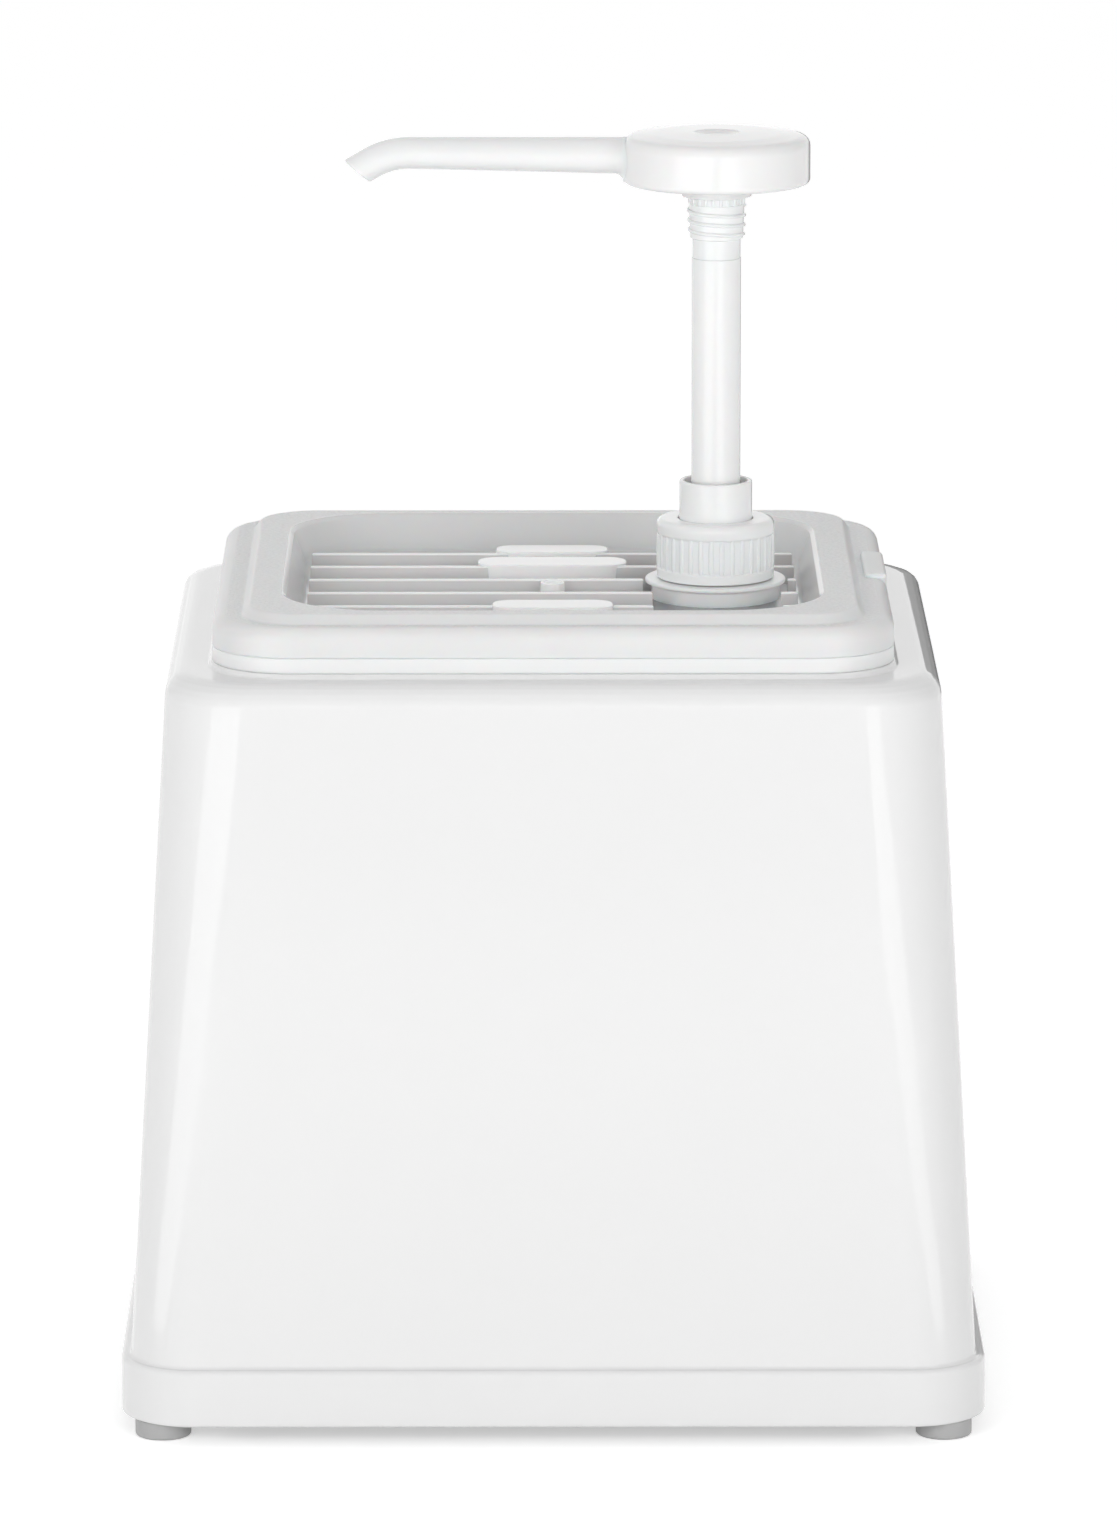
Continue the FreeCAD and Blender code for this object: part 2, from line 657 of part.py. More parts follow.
def spout(diameter_root, diameter_tip, start_x, overrun):
    """Round bar along the spout: a tapering run to -X, a bend downwards and a short straight end."""
    bend = math.radians(SPOUT_BEND)
    drop = V(-math.cos(bend), 0, -math.sin(bend))
    tip = SPOUT_BEND_R * math.sin(bend)
    straight = SPOUT_TIP_D / 2
    elbow_x = pump_x - SPOUT_REACH + tip + straight * math.cos(bend)
    root = Part.Wire(Part.Circle(V(start_x, 0, spout_z), V(-1, 0, 0), diameter_root / 2).toShape())
    end = Part.Wire(Part.Circle(V(elbow_x, 0, spout_z), V(-1, 0, 0), diameter_tip / 2).toShape())
    run = Part.makeLoft([root, end], True, True)
    elbow = Part.Face(end).revolve(V(elbow_x, 0, spout_z - SPOUT_BEND_R), V(0, -1, 0), SPOUT_BEND)
    low = V(elbow_x - tip, 0, spout_z - SPOUT_BEND_R * (1 - math.cos(bend)))
    nozzle = Part.makeCylinder(diameter_tip / 2, straight + overrun, low, drop)
    return run.fuse([elbow, nozzle]), low + drop * straight


def pump_head():
    r = HEAD_D / 2
    bore = STEM_PLUG_D / 2 + FIT / 2
    low_k = HEAD_LOW_ROUND * (1 - math.sqrt(0.5))
    top_k = HEAD_TOP_ROUND * (1 - math.sqrt(0.5))
    dome = head_rim + HEAD_DOME
    dish = HEAD_DISH_D / 2
    rise = HEAD_DOME * (1 - ((r + dish) / 2 / r) ** 2)
    ball = (dish ** 2 + HEAD_DISH ** 2) / (2 * HEAD_DISH)  # radius of the hollow in the middle
    sag = ball - math.sqrt(ball ** 2 - (dish / 2) ** 2)
    sleeve = SLEEVE_D / 2
    neck = RING_NECK_D / 2
    ring = RING_D / 2
    spigot_top = spigot_z + SPIGOT_H
    steps = [(0, seam_z), (sleeve, seam_z), (sleeve, spigot_z), (SPIGOT_LOW_D / 2, spigot_z),
             (SPIGOT_TOP_D / 2, spigot_top), (neck, spigot_top), (neck, ring_z), (ring, ring_z),
             (ring, head_z), (r - HEAD_LOW_ROUND, head_z),
             ((r - low_k, head_z + low_k), (r, head_z + HEAD_LOW_ROUND)), (r, head_rim - HEAD_TOP_ROUND),
             ((r - top_k, head_rim - top_k), (r - HEAD_TOP_ROUND, head_rim)),
             ((r / 2 + dish / 2, head_rim + rise), (dish, dome)),
             ((dish / 2, dome - HEAD_DISH + sag), (0, dome - HEAD_DISH))]
    head = turned(steps)
    # hollow underside round the hub
    head = head.cut(tube(HEAD_D - 2 * HEAD_WALL, HUB_D, head_z - REACH, head_rim - HEAD_WALL))
    outside, mouth = spout(SPOUT_ROOT_D, SPOUT_TIP_D, pump_x, SPOUT_TIP_D)
    flare_x = pump_x - r + SPOUT_FLARE
    flare = Part.makeCone(SPOUT_ROOT_D / 2 + SPOUT_FLARE, SPOUT_ROOT_D / 2 - TINY, 2 * SPOUT_FLARE,
                          V(flare_x, 0, spout_z), V(-1, 0, 0))
    flare = flare.common(Part.makeBox(HEAD_D, HEAD_D, HEAD_H, V(pump_x - HEAD_D, -r, head_z)))
    head = joined(head, [outside, flare])
    # slanted outlet
    mitre = math.radians(SPOUT_MITRE)
    outwards = V(-math.cos(mitre), 0, -math.sin(mitre))
    head = head.cut(Part.makeCylinder(SPOUT_ROOT_D, SPOUT_ROOT_D, mouth, outwards))
    # liquid's way from the stem to the outlet
    inside, _ = spout(SPOUT_BORE, SPOUT_BORE, pump_x, SPOUT_TIP_D)
    return head.cut([rod(2 * bore, seam_z - REACH, spout_z), inside])


def main():
    os.makedirs("parts", exist_ok=True)
    nodes = {
        "housing_shell": housing_shell(),
        "container": container(),
        "lid": lid(),
        "neck_fitting": neck_fitting(),
        "neck_gasket": neck_gasket(),
        "neck_nut": neck_nut(),
        "screw_cap": screw_cap(),
        "pump_collar": pump_collar(),
        "sealing_washer": sealing_washer(),
        "pump_chamber": pump_chamber(),
        "inlet_ball": inlet_ball(),
        "ball_retainer": ball_retainer(),
        "dip_tube": dip_tube(),
        "return_spring": return_spring(),
        "piston_seal": piston_seal(),
        "piston_rod": piston_rod(),
        "stem": stem(),
        "outlet_ball": outlet_ball(),
        "pump_head": pump_head(),
    }
    for name, x, y in foot_places():
        nodes[name] = foot(x, y)
    for name, shape in nodes.items():
        box = shape.BoundBox
        print("%-18s solids %d valid %s volume %.0f box %.1f %.1f %.1f to %.1f %.1f %.1f" % (
            name, len(shape.Solids), shape.isValid(), shape.Volume,
            box.XMin, box.YMin, box.ZMin, box.XMax, box.YMax, box.ZMax))
        shape.exportStep("parts/%s.step" % name)


main()
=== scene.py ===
# %% [markdown]
# # A countertop pump dispenser
# A tapered white housing holds a catering container by its rim. A frosted lid closes the container and
# carries a hand pump with a long spout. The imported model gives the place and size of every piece, in
# metres, so each cell below makes one piece over its solid and lets it ride on the right body.

import math

import bmesh
import bpy
import numpy as np
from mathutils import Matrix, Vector
from mathutils.geometry import delaunay_2d_cdt


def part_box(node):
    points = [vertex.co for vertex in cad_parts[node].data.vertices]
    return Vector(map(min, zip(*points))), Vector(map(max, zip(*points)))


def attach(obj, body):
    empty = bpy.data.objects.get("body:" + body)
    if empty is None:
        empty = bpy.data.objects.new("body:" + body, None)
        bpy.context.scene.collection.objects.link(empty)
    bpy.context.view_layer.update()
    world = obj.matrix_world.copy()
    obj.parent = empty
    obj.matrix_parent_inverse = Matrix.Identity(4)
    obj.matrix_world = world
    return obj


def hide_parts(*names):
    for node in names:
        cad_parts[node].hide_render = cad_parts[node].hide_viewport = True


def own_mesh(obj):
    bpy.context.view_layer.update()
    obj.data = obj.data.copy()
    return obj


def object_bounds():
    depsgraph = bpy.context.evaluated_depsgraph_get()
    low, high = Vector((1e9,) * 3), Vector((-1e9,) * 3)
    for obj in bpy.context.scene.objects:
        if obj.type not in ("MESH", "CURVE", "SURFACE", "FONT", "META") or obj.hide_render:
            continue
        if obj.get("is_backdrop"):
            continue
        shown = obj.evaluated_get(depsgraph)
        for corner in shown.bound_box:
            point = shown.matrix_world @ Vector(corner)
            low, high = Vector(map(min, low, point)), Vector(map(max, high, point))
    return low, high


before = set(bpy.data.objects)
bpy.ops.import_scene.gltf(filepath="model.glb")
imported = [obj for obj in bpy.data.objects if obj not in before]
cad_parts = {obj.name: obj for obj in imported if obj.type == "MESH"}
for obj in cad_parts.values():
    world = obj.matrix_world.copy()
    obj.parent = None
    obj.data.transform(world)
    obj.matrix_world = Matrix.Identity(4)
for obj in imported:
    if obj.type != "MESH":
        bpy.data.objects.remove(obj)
cad_box = [list(corner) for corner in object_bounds()]
scene = bpy.context.scene
scene.view_settings.view_transform = "Standard"
MM = 0.001  # the shapes below are drawn in millimetres
PUMP_X = 43.0  # axis of the pump

# %% [markdown]
# ## Camera
# The photograph is taken from far away with a long lens, a little above the object. A long lens keeps the
# upright edges nearly parallel. Place, tilt and focal length were solved from known points of the object.

# %% Camera
FOCAL_PX = 9679  # focal length in pixels of the photograph
PHOTO_HEIGHT_PX = 1537
SENSOR_MM = 36
camera = bpy.data.objects.new("camera", bpy.data.cameras.new("camera"))
camera.location = (-0.0076, -2.512, 0.678)
camera.rotation_euler = (math.radians(78.272), 0, math.radians(-0.21))
camera.data.sensor_width = SENSOR_MM
camera.data.lens = FOCAL_PX / PHOTO_HEIGHT_PX * SENSOR_MM
camera.data.clip_end = 60
scene.collection.objects.link(camera)
scene.camera = camera
print("lens %.1f mm" % camera.data.lens)

# %% [markdown]
# ## Floor
# A product shot like this one stands on a white sheet that runs out of the picture, so a large plane is
# enough. Its material shows the camera and the reflections a white sheet, and still takes the soft
# shadow under the feet, because only part of its brightness is its own.

# %% Floor
SHEET_HALF = 9  # metres from the middle of the sheet to its edge
SHEET_GLOW = 0.47  # the part of its brightness that is its own
floor_mesh = bpy.data.meshes.new("floor")
corners = [(x * SHEET_HALF, y * SHEET_HALF, 0) for x, y in ((-1, -1), (1, -1), (1, 1), (-1, 1))]
floor_mesh.from_pydata(corners, [], [(0, 1, 2, 3)])
floor = bpy.data.objects.new("floor", floor_mesh)
scene.collection.objects.link(floor)
floor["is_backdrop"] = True

sheet = bpy.data.materials.new("white_sheet")
sheet.use_nodes = True
tree = sheet.node_tree
paper = tree.nodes["Principled BSDF"]
paper.inputs["Base Color"].default_value = (0.86, 0.86, 0.86, 1)
paper.inputs["Specular IOR Level"].default_value = 0
paper.inputs["Emission Color"].default_value = (1, 1, 1, 1)
path = tree.nodes.new("ShaderNodeLightPath")
seen = path.outputs["Is Camera Ray"]
for kind in ("Is Glossy Ray", "Is Transmission Ray"):
    either = tree.nodes.new("ShaderNodeMath")
    either.operation = "MAXIMUM"
    tree.links.new(seen, either.inputs[0])
    tree.links.new(path.outputs[kind], either.inputs[1])
    seen = either.outputs[0]
own = tree.nodes.new("ShaderNodeMath")
own.operation = "MULTIPLY"
own.inputs[1].default_value = SHEET_GLOW
tree.links.new(seen, own.inputs[0])
tree.links.new(own.outputs[0], paper.inputs["Emission Strength"])
floor_mesh.materials.append(sheet)
print("floor", tuple(floor.dimensions))

# %% [markdown]
# ## Light
# Glossy white plastic is drawn by what it mirrors, and lit by what it does not. So the two jobs are kept
# apart. The room is bright low down, and darker to the sides, overhead and towards the camera, which greys
# the lid and gives the dome of the pump head its crescent. Two softboxes light the front, and the gloss
# does not see them. The walls lean back, so their mirror image of the studio lies on the floor: two
# bright sheets there become the two long strips on the round corners, and a bar of light far in front
# draws the thin line along the top edge. A dark card behind gives the right shoulder its dark edge.

# %% Light
world = bpy.data.worlds.new("studio")
scene.world = world
world.use_nodes = True
tree = world.node_tree
sky = tree.nodes["Background"]
place = tree.nodes.new("ShaderNodeTexCoord")


def fade(direction, stops):
    """Grey level of the room along a direction. The first stop is behind it and the last one ahead."""
    slope = tree.nodes.new("ShaderNodeVectorMath")
    slope.operation = "DOT_PRODUCT"
    slope.inputs[1].default_value = direction
    shift = tree.nodes.new("ShaderNodeMapRange")
    shift.inputs["From Min"].default_value = -1
    ramp = tree.nodes.new("ShaderNodeValToRGB")
    while len(ramp.color_ramp.elements) < len(stops):
        ramp.color_ramp.elements.new(0.5)
    for stop, (at, level) in zip(ramp.color_ramp.elements, stops):
        stop.position = at
        stop.color = (level, level, level, 1)
    tree.links.new(place.outputs["Generated"], slope.inputs[0])
    tree.links.new(slope.outputs["Value"], shift.inputs["Value"])
    tree.links.new(shift.outputs[0], ramp.inputs[0])
    return ramp.outputs[0]


both = tree.nodes.new("ShaderNodeVectorMath")
both.operation = "MULTIPLY"
lean = Vector((0, -0.55, 0.835)).normalized()
up_and_front = ((0.0, 0.90), (0.20, 1.25), (0.50, 0.94), (0.68, 0.92), (0.84, 0.70), (1.0, 0.30))
left_to_right = ((0.0, 0.74), (0.30, 0.97), (0.50, 1.0), (0.66, 0.92), (1.0, 0.50))
tree.links.new(fade(lean, up_and_front), both.inputs[0])
tree.links.new(fade((1, 0, 0), left_to_right), both.inputs[1])
tree.links.new(both.outputs[0], sky.inputs["Color"])


def softbox(name, spot, aim, width, height, level):
    """A rectangular lamp at spot that faces aim. The gloss of the object does not see it."""
    lamp = bpy.data.lights.new(name, "AREA")
    lamp.shape = "RECTANGLE"
    lamp.size = width
    lamp.size_y = height
    lamp.energy = level * math.pi * width * height
    rig = bpy.data.objects.new(name, lamp)
    rig.location = spot
    rig.rotation_euler = (Vector(aim) - Vector(spot)).to_track_quat("-Z", "Y").to_euler()
    rig.visible_camera = False
    rig.visible_glossy = False
    scene.collection.objects.link(rig)


def stage_card(name, corners, level):
    """A plain card of the studio that only the gloss of the object sees."""
    mesh = bpy.data.meshes.new(name)
    mesh.from_pydata(corners, [], [tuple(range(len(corners)))])
    face = bpy.data.materials.new(name)
    face.use_nodes = True
    shader = face.node_tree.nodes["Principled BSDF"]
    shader.inputs["Base Color"].default_value = (0, 0, 0, 1)
    shader.inputs["Specular IOR Level"].default_value = 0
    shader.inputs["Emission Color"].default_value = (1, 1, 1, 1)
    shader.inputs["Emission Strength"].default_value = level
    mesh.materials.append(face)
    card = bpy.data.objects.new(name, mesh)
    card.visible_camera = card.visible_diffuse = card.visible_transmission = card.visible_shadow = False
    scene.collection.objects.link(card)
    card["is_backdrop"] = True


def upright(x_low, x_high, y, top):
    """Corners of a card that stands on the floor."""
    return [(x_low, y, 0.0), (x_high, y, 0.0), (x_high, y, top), (x_low, y, top)]


for side, name in ((-1, "softbox_left"), (1, "softbox_right")):
    softbox(name, spot=(side * 0.70, -1.1, 0.46), aim=(0, 0, 0.16), width=0.8, height=0.60, level=3.0)
left_sheet = ((0.29, -0.19), (0.40, -0.37), (0.48, -0.78), (0.43, -1.28), (0.17, -2.30), (0.25, -3.4),
              (2.6, -3.0), (2.16, -1.83), (1.30, -0.78), (0.83, -0.37), (0.51, -0.16), (0.31, -0.11))
right_sheet = ((0.26, -0.24), (0.34, -0.43), (0.31, -0.85), (0.29, -1.02), (0.16, -1.33), (0.20, -2.6),
               (0.26, -3.4), (1.2, -3.2), (0.95, -2.4), (1.05, -1.75), (0.85, -1.0), (0.66, -0.64),
               (0.46, -0.29), (0.29, -0.19))
SHEET_Z = 0.002  # just above the floor
SHEET_LEVEL = 2.5
stage_card("light_sheet_left", [(-x, y, SHEET_Z) for x, y in left_sheet], SHEET_LEVEL)
stage_card("light_sheet_right", [(x, y, SHEET_Z) for x, y in right_sheet], SHEET_LEVEL)
stage_card("light_bar", upright(x_low=-2.6, x_high=2.6, y=-3.5, top=0.62), level=1.8)
stage_card("dark_card", upright(x_low=0.12, x_high=0.60, y=1.1, top=0.36), level=0.06)

# %% [markdown]
# ## Finishes
# Moulded plastic is never one flat colour. The resin is slightly cloudy, the mould leaves a faint waviness
# or a fine spark-eroded grain, and the gloss varies from place to place. One shader group gives all three
# from Object coordinates, and every material sets its own amounts.

# %% Group: moulded skin
def new_group(name, kind, inputs, outputs):
    """Node group with named sockets. A socket is (label, type, value)."""
    group = bpy.data.node_groups.new(name, kind)
    for way, sockets in (("INPUT", inputs), ("OUTPUT", outputs)):
        for label, sort, value in sockets:
            socket = group.interface.new_socket(label, in_out=way, socket_type="NodeSocket" + sort)
            if value is not None:
                socket.default_value = value
    return group, group.nodes.new("NodeGroupInput"), group.nodes.new("NodeGroupOutput")


def feed(group, socket, value):
    """Link a socket to an input, or set a plain value on it."""
    if isinstance(value, bpy.types.NodeSocket):
        group.links.new(value, socket)
    else:
        socket.default_value = value


def calc(group, operation, *values, kind="ShaderNodeMath"):
    """Output of a maths node that takes these values."""
    node = group.nodes.new(kind)
    node.operation = operation
    for socket, value in zip(node.inputs, values):
        feed(group, socket, value)
    return node.outputs[0]


skin_group, g_in, g_out = new_group(
    "moulded_skin", "ShaderNodeTree",
    (("Resin", "Color", (0.8, 0.8, 0.8, 1)), ("Cloud", "Float", 0.03), ("Cloud Scale", "Float", 18.0),
     ("Gloss", "Float", 0.2), ("Gloss Spread", "Float", 0.05), ("Grain Scale", "Float", 900.0),
     ("Grain", "Float", 0.5), ("Wave", "Float", 0.2)),
    (("Color", "Color", None), ("Roughness", "Float", None), ("Height", "Float", None)))
g = skin_group
spot = g.nodes.new("ShaderNodeTexCoord")
NOISE_MID = 0.5  # mean of a noise texture
SMEAR_SCALE = 70.0
WAVE_SCALE = 35.0


def noise(scale, detail, rough=0.5):
    """Noise on the object's own coordinates."""
    node = g.nodes.new("ShaderNodeTexNoise")
    for label, value in (("Detail", detail), ("Roughness", rough), ("Vector", spot.outputs["Object"]),
                         ("Scale", scale)):
        feed(g, node.inputs[label], value)
    return node.outputs["Fac"]


cloud = calc(g, "SUBTRACT", noise(g_in.outputs["Cloud Scale"], 4.0), NOISE_MID)
level = calc(g, "MULTIPLY_ADD", cloud, g_in.outputs["Cloud"], 1.0)
tint = g.nodes.new("ShaderNodeVectorMath")
tint.operation = "SCALE"
g.links.new(g_in.outputs["Resin"], tint.inputs[0])
g.links.new(level, tint.inputs["Scale"])
g.links.new(tint.outputs[0], g_out.inputs["Color"])
smear = calc(g, "SUBTRACT", noise(SMEAR_SCALE, 3.0, 0.6), NOISE_MID)
gloss = calc(g, "MULTIPLY_ADD", smear, g_in.outputs["Gloss Spread"], g_in.outputs["Gloss"])
g.links.new(gloss, g_out.inputs["Roughness"])
grain = calc(g, "MULTIPLY", noise(g_in.outputs["Grain Scale"], 2.0), g_in.outputs["Grain"])
wave = calc(g, "MULTIPLY", noise(WAVE_SCALE, 1.0), g_in.outputs["Wave"])
g.links.new(calc(g, "ADD", grain, wave), g_out.inputs["Height"])
print("group", g.name, len(g.nodes), "nodes")


# %% Plastic, rubber and metal
SCATTER = 0.003  # metres that light wanders inside soft plastic
RELIEF = 0.0002  # metres between the low and the high of the skin's bump


def finish(name, resin, gloss, bump=0.0, soft=0.0, metal=0.0, clear=0.0, **skin):
    """Material over the moulded skin. Keywords name the group's inputs with _ for a space."""
    made = bpy.data.materials.new(name)
    made.use_nodes = True
    net = made.node_tree
    shader = net.nodes["Principled BSDF"]
    group = net.nodes.new("ShaderNodeGroup")
    group.node_tree = skin_group
    group.inputs["Resin"].default_value = (*resin, 1)
    group.inputs["Gloss"].default_value = gloss
    for key, value in skin.items():
        group.inputs[key.replace("_", " ")].default_value = value
    shader.inputs["Metallic"].default_value = metal
    shader.inputs["Transmission Weight"].default_value = clear
    shader.inputs["Subsurface Weight"].default_value = soft
    shader.inputs["Subsurface Scale"].default_value = SCATTER
    relief = net.nodes.new("ShaderNodeBump")
    relief.inputs["Strength"].default_value = bump
    relief.inputs["Distance"].default_value = RELIEF
    net.links.new(group.outputs["Color"], shader.inputs["Base Color"])
    net.links.new(group.outputs["Roughness"], shader.inputs["Roughness"])
    net.links.new(group.outputs["Height"], relief.inputs["Height"])
    net.links.new(relief.outputs["Normal"], shader.inputs["Normal"])
    return made


def grey(level):
    return (level, level, level)


shell_white = finish("shell_white", grey(0.85), 0.04, 0.12, Cloud=0.012, Gloss_Spread=0.02, Wave=0.3,
                     Grain=0.01)
lid_frost = finish("lid_frost", grey(0.84), 0.46, 1.0, soft=0.2, Cloud=0.30, Cloud_Scale=1100.0,
                   Grain_Scale=1100.0, Grain=2.0)
lid_gloss = finish("lid_gloss", grey(0.76), 0.12, 0.2, soft=0.2, Cloud=0.06, Cloud_Scale=30.0, Grain=0.2)
# a paler copy of the lid plastic: a painted highlight on the rib crests, the end of the grip tab and the pads
lid_painted_highlight = finish("lid_painted_highlight", grey(0.97), 0.12, soft=0.2, Cloud=0.02)
# a darker copy of the lid plastic: painted shade on the faces of the ribs
lid_rib_painted_shade = finish("lid_rib_painted_shade", grey(0.69), 0.10, soft=0.2, Cloud=0.05, Cloud_Scale=30.0)
lid_side = finish("lid_side", grey(0.78), 0.34, 0.3, soft=0.2, Cloud=0.06, Cloud_Scale=30.0, Grain=0.3)
neck_milky = finish("neck_milky", grey(0.95), 0.30, 0.2, soft=0.25, Cloud=0.05, Grain=0.2)
pump_white = finish("pump_white", grey(0.915), 0.09, 0.12, soft=0.1, Cloud=0.02, Wave=0.3, Grain=0.1)
tub_white = finish("tub_white", grey(0.85), 0.30, 0.2, soft=0.1, Cloud=0.03, Grain=0.2)
foot_rubber = finish("foot_rubber", grey(0.46), 0.55, 0.5, Cloud=0.15, Cloud_Scale=60.0, Grain=0.6)
tube_clear = finish("tube_clear", (0.90, 0.91, 0.92), 0.22, 0.15, clear=0.75, Cloud=0.03, Grain=0.1)
seal_grey = finish("seal_grey", grey(0.22), 0.5, 0.3, Cloud=0.1, Grain=0.4)
spring_steel = finish("spring_steel", (0.62, 0.61, 0.60), 0.24, 0.3, metal=1.0, Cloud=0.08, Grain=0.3)
ball_glass = finish("ball_glass", (0.86, 0.92, 0.90), 0.06, 0.05, clear=0.9, Cloud=0.02, Grain=0.05)
print("finishes", len([m for m in bpy.data.materials if m.use_nodes]))

# %% [markdown]
# ## Two ways to make a skin
# Nearly every piece is either turned, like the pump, or has a rectangular plan with round corners, like
# the housing. Both are a profile swept round: a list of corners, each with its own rounding, is drawn once
# and carried round a circle or a round-cornered rectangle. Rounded corners matter more than anything else
# here, because a white object shows its edges only as small bright or dark lines.

# %% Profiles and sweeps
GUARD = 0.4  # a loop close to each rounding keeps the flat next to it flat
EDGE_SHARE = 0.49  # a rounding takes at most this share of the edge next to it
SHARP_ANGLE = math.radians(38)  # a steeper fold between two faces shows as an edge
MERGE = 1e-6  # metres, closer points become one
SLIVER = 1e-7  # metres, shorter edges go


def profile(corners, closed=False, steps=5):
    """Round the corners of a profile. A corner is (across, height, more values, radius)."""
    points = [np.array(c[:-1], float) for c in corners]
    count = len(points)
    line = []
    for i, (point, corner) in enumerate(zip(points, corners)):
        at_end = not closed and i in (0, count - 1)
        if at_end or corner[-1] == 0:
            line.append(point)
            continue
        back = points[i - 1] - point
        ahead = points[(i + 1) % count] - point
        back_len = math.hypot(*back[:2])
        ahead_len = math.hypot(*ahead[:2])
        half = math.acos(max(-1, min(1, back[:2] @ ahead[:2] / back_len / ahead_len))) / 2
        cut = min(corner[-1] / math.tan(half), EDGE_SHARE * back_len, EDGE_SHARE * ahead_len)
        start = point + back * cut / back_len
        end = point + ahead * cut / ahead_len
        for t in np.linspace(0, 1, steps + 1):
            w = 2 * t * (1 - t) * math.sin(half)
            line.append(((1 - t) ** 2 * start + w * point + t * t * end) / ((1 - t) ** 2 + w + t * t))
    guarded = []
    for i, here in enumerate(line):
        guarded.append(here)
        if i + 1 < len(line) or closed:
            there = line[(i + 1) % len(line)]
            gap = math.hypot(*(there - here)[:2])
            if gap > 4 * GUARD:
                guarded += [here + (there - here) * GUARD / gap, there - (there - here) * GUARD / gap]
    return guarded


def plan_ring(half_x, z, half_y, radius, steps=14):
    """Points round a rectangle with round corners, counter-clockwise from above."""
    ring = []
    for sx, sy, turn in ((1, 1, 0), (-1, 1, 90), (-1, -1, 180), (1, -1, 270)):
        cx = sx * (half_x - radius)
        cy = sy * (half_y - radius)
        angles = [math.radians(turn + 90 * i / steps) for i in range(steps + 1)]
        arc = [(cx + radius * math.cos(a), cy + radius * math.sin(a)) for a in angles]
        first, last = angles[0], angles[-1]
        ring.append((arc[0][0] + GUARD * math.sin(first), arc[0][1] - GUARD * math.cos(first), z))
        ring += [(x, y, z) for x, y in arc]
        ring.append((arc[-1][0] - GUARD * math.sin(last), arc[-1][1] + GUARD * math.cos(last), z))
    return ring


def round_ring(radius, z, x=PUMP_X, y=0.0, steps=96):
    """Points round a circle, counter-clockwise from above."""
    angles = [2 * math.pi * i / steps for i in range(steps)]
    return [(x + radius * math.cos(a), y + radius * math.sin(a), z) for a in angles]


def sweep(rings, closed=False, caps=False):
    """Vertices and faces of a skin over rings of equal length."""
    count = len(rings[0])
    faces = []
    for i in range(len(rings) if closed else len(rings) - 1):
        low = i * count
        high = (i + 1) % len(rings) * count
        for j in range(count):
            k = (j + 1) % count
            faces.append((low + j, low + k, high + k, high + j))
    if caps:
        faces.append(tuple(reversed(range(count))))
        faces.append(tuple(range((len(rings) - 1) * count, len(rings) * count)))
    return [p for ring in rings for p in ring], faces


def solid(name, parts, *materials, bands=None):
    """One mesh object from several (vertices, faces) in millimetres. Bands pick a face's material."""
    verts, faces = [], []
    for part_verts, part_faces in parts:
        faces += [tuple(i + len(verts) for i in face) for face in part_faces]
        verts += [Vector(p) * MM for p in part_verts]
    mesh = bpy.data.meshes.new(name)
    mesh.from_pydata(verts, [], faces)
    if bands:
        mesh.polygons.foreach_set("material_index", [bands(*f.center) for f in mesh.polygons])
    work = bmesh.new()
    work.from_mesh(mesh)
    bmesh.ops.remove_doubles(work, verts=work.verts, dist=MERGE)
    bmesh.ops.dissolve_degenerate(work, edges=work.edges, dist=SLIVER)
    work.to_mesh(mesh)
    work.free()
    mesh.shade_smooth()
    mesh.set_sharp_from_angle(angle=SHARP_ANGLE)
    for material in materials:
        mesh.materials.append(material)
    piece = bpy.data.objects.new(name, mesh)
    scene.collection.objects.link(piece)
    return piece


def fit(piece, body, slot, *node_names):
    """Let a piece ride on a body and stand for its CAD nodes. The slot is not used."""
    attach(piece, body)
    if node_names:
        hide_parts(*node_names)
    print(piece.name, "on", body, len(piece.data.polygons), "faces")


def boxed(corners, closed=False, caps=False):
    """Skin with a rectangular plan. A corner is (half x, z, half y, plan radius, rounding)."""
    return sweep([plan_ring(*point) for point in profile(corners, closed)], closed, caps)


def lathe(corners, closed=True, x=PUMP_X, y=0.0, steps=96):
    """Turned skin. A corner is (radius, z, rounding)."""
    return sweep([round_ring(r, z, x, y, steps) for r, z in profile(corners, closed)], closed)


def shifted(part, x=0.0, y=0.0):
    """The same skin at another place."""
    verts, faces = part
    return [(px + x, py + y, pz) for px, py, pz in verts], faces


# %% [markdown]
# ## Housing
# One moulding, open below: a skirt, a ledge, four drafted walls whose corners are nearly as round as the
# skirt's, and a wide soft rim that turns down into the opening. A single closed profile carries all of it.
# Small plates in the corners take the feet.

# %% Housing
FOOT_X, FOOT_Y = 101.0, 93.0
PLATE_LOW, PLATE_TOP = 4.5, 8.0  # corner plates that take the feet
PLATE_R, PLATE_HOLE_R = 16.0, 3.1
PLATE_STEPS = 48
housing = [boxed([
    (107.3, 4.5, 99.3, 13.8, 0.4), (112, 4.5, 104, 19.5, 0.8), (112, 19.5, 104, 19.5, 1.5),
    (109.5, 19.5, 101.5, 17, 0.9), (99.57, 196.7, 91.57, 20, 5.4), (88.9, 196.7, 81.9, 21.6, 0.7),
    (88.5, 198, 81.5, 21.2, 0.7), (80, 198, 73, 16, 0.7),
    (80, 189, 73, 16, 0.5), (82.2, 189, 75.2, 18.2, 0.5), (82.2, 194.8, 75.2, 18.2, 0.6),
    (96.7, 194.8, 88.7, 17, 2.5)], closed=True)]


def inside_plan(x, y, half_x=108.5, half_y=100.5, radius=16.0):
    """True where a point lies inside the wall of the skirt."""
    over_x = max(abs(x) - half_x + radius, 0)
    over_y = max(abs(y) - half_y + radius, 0)
    return math.hypot(over_x, over_y) <= radius


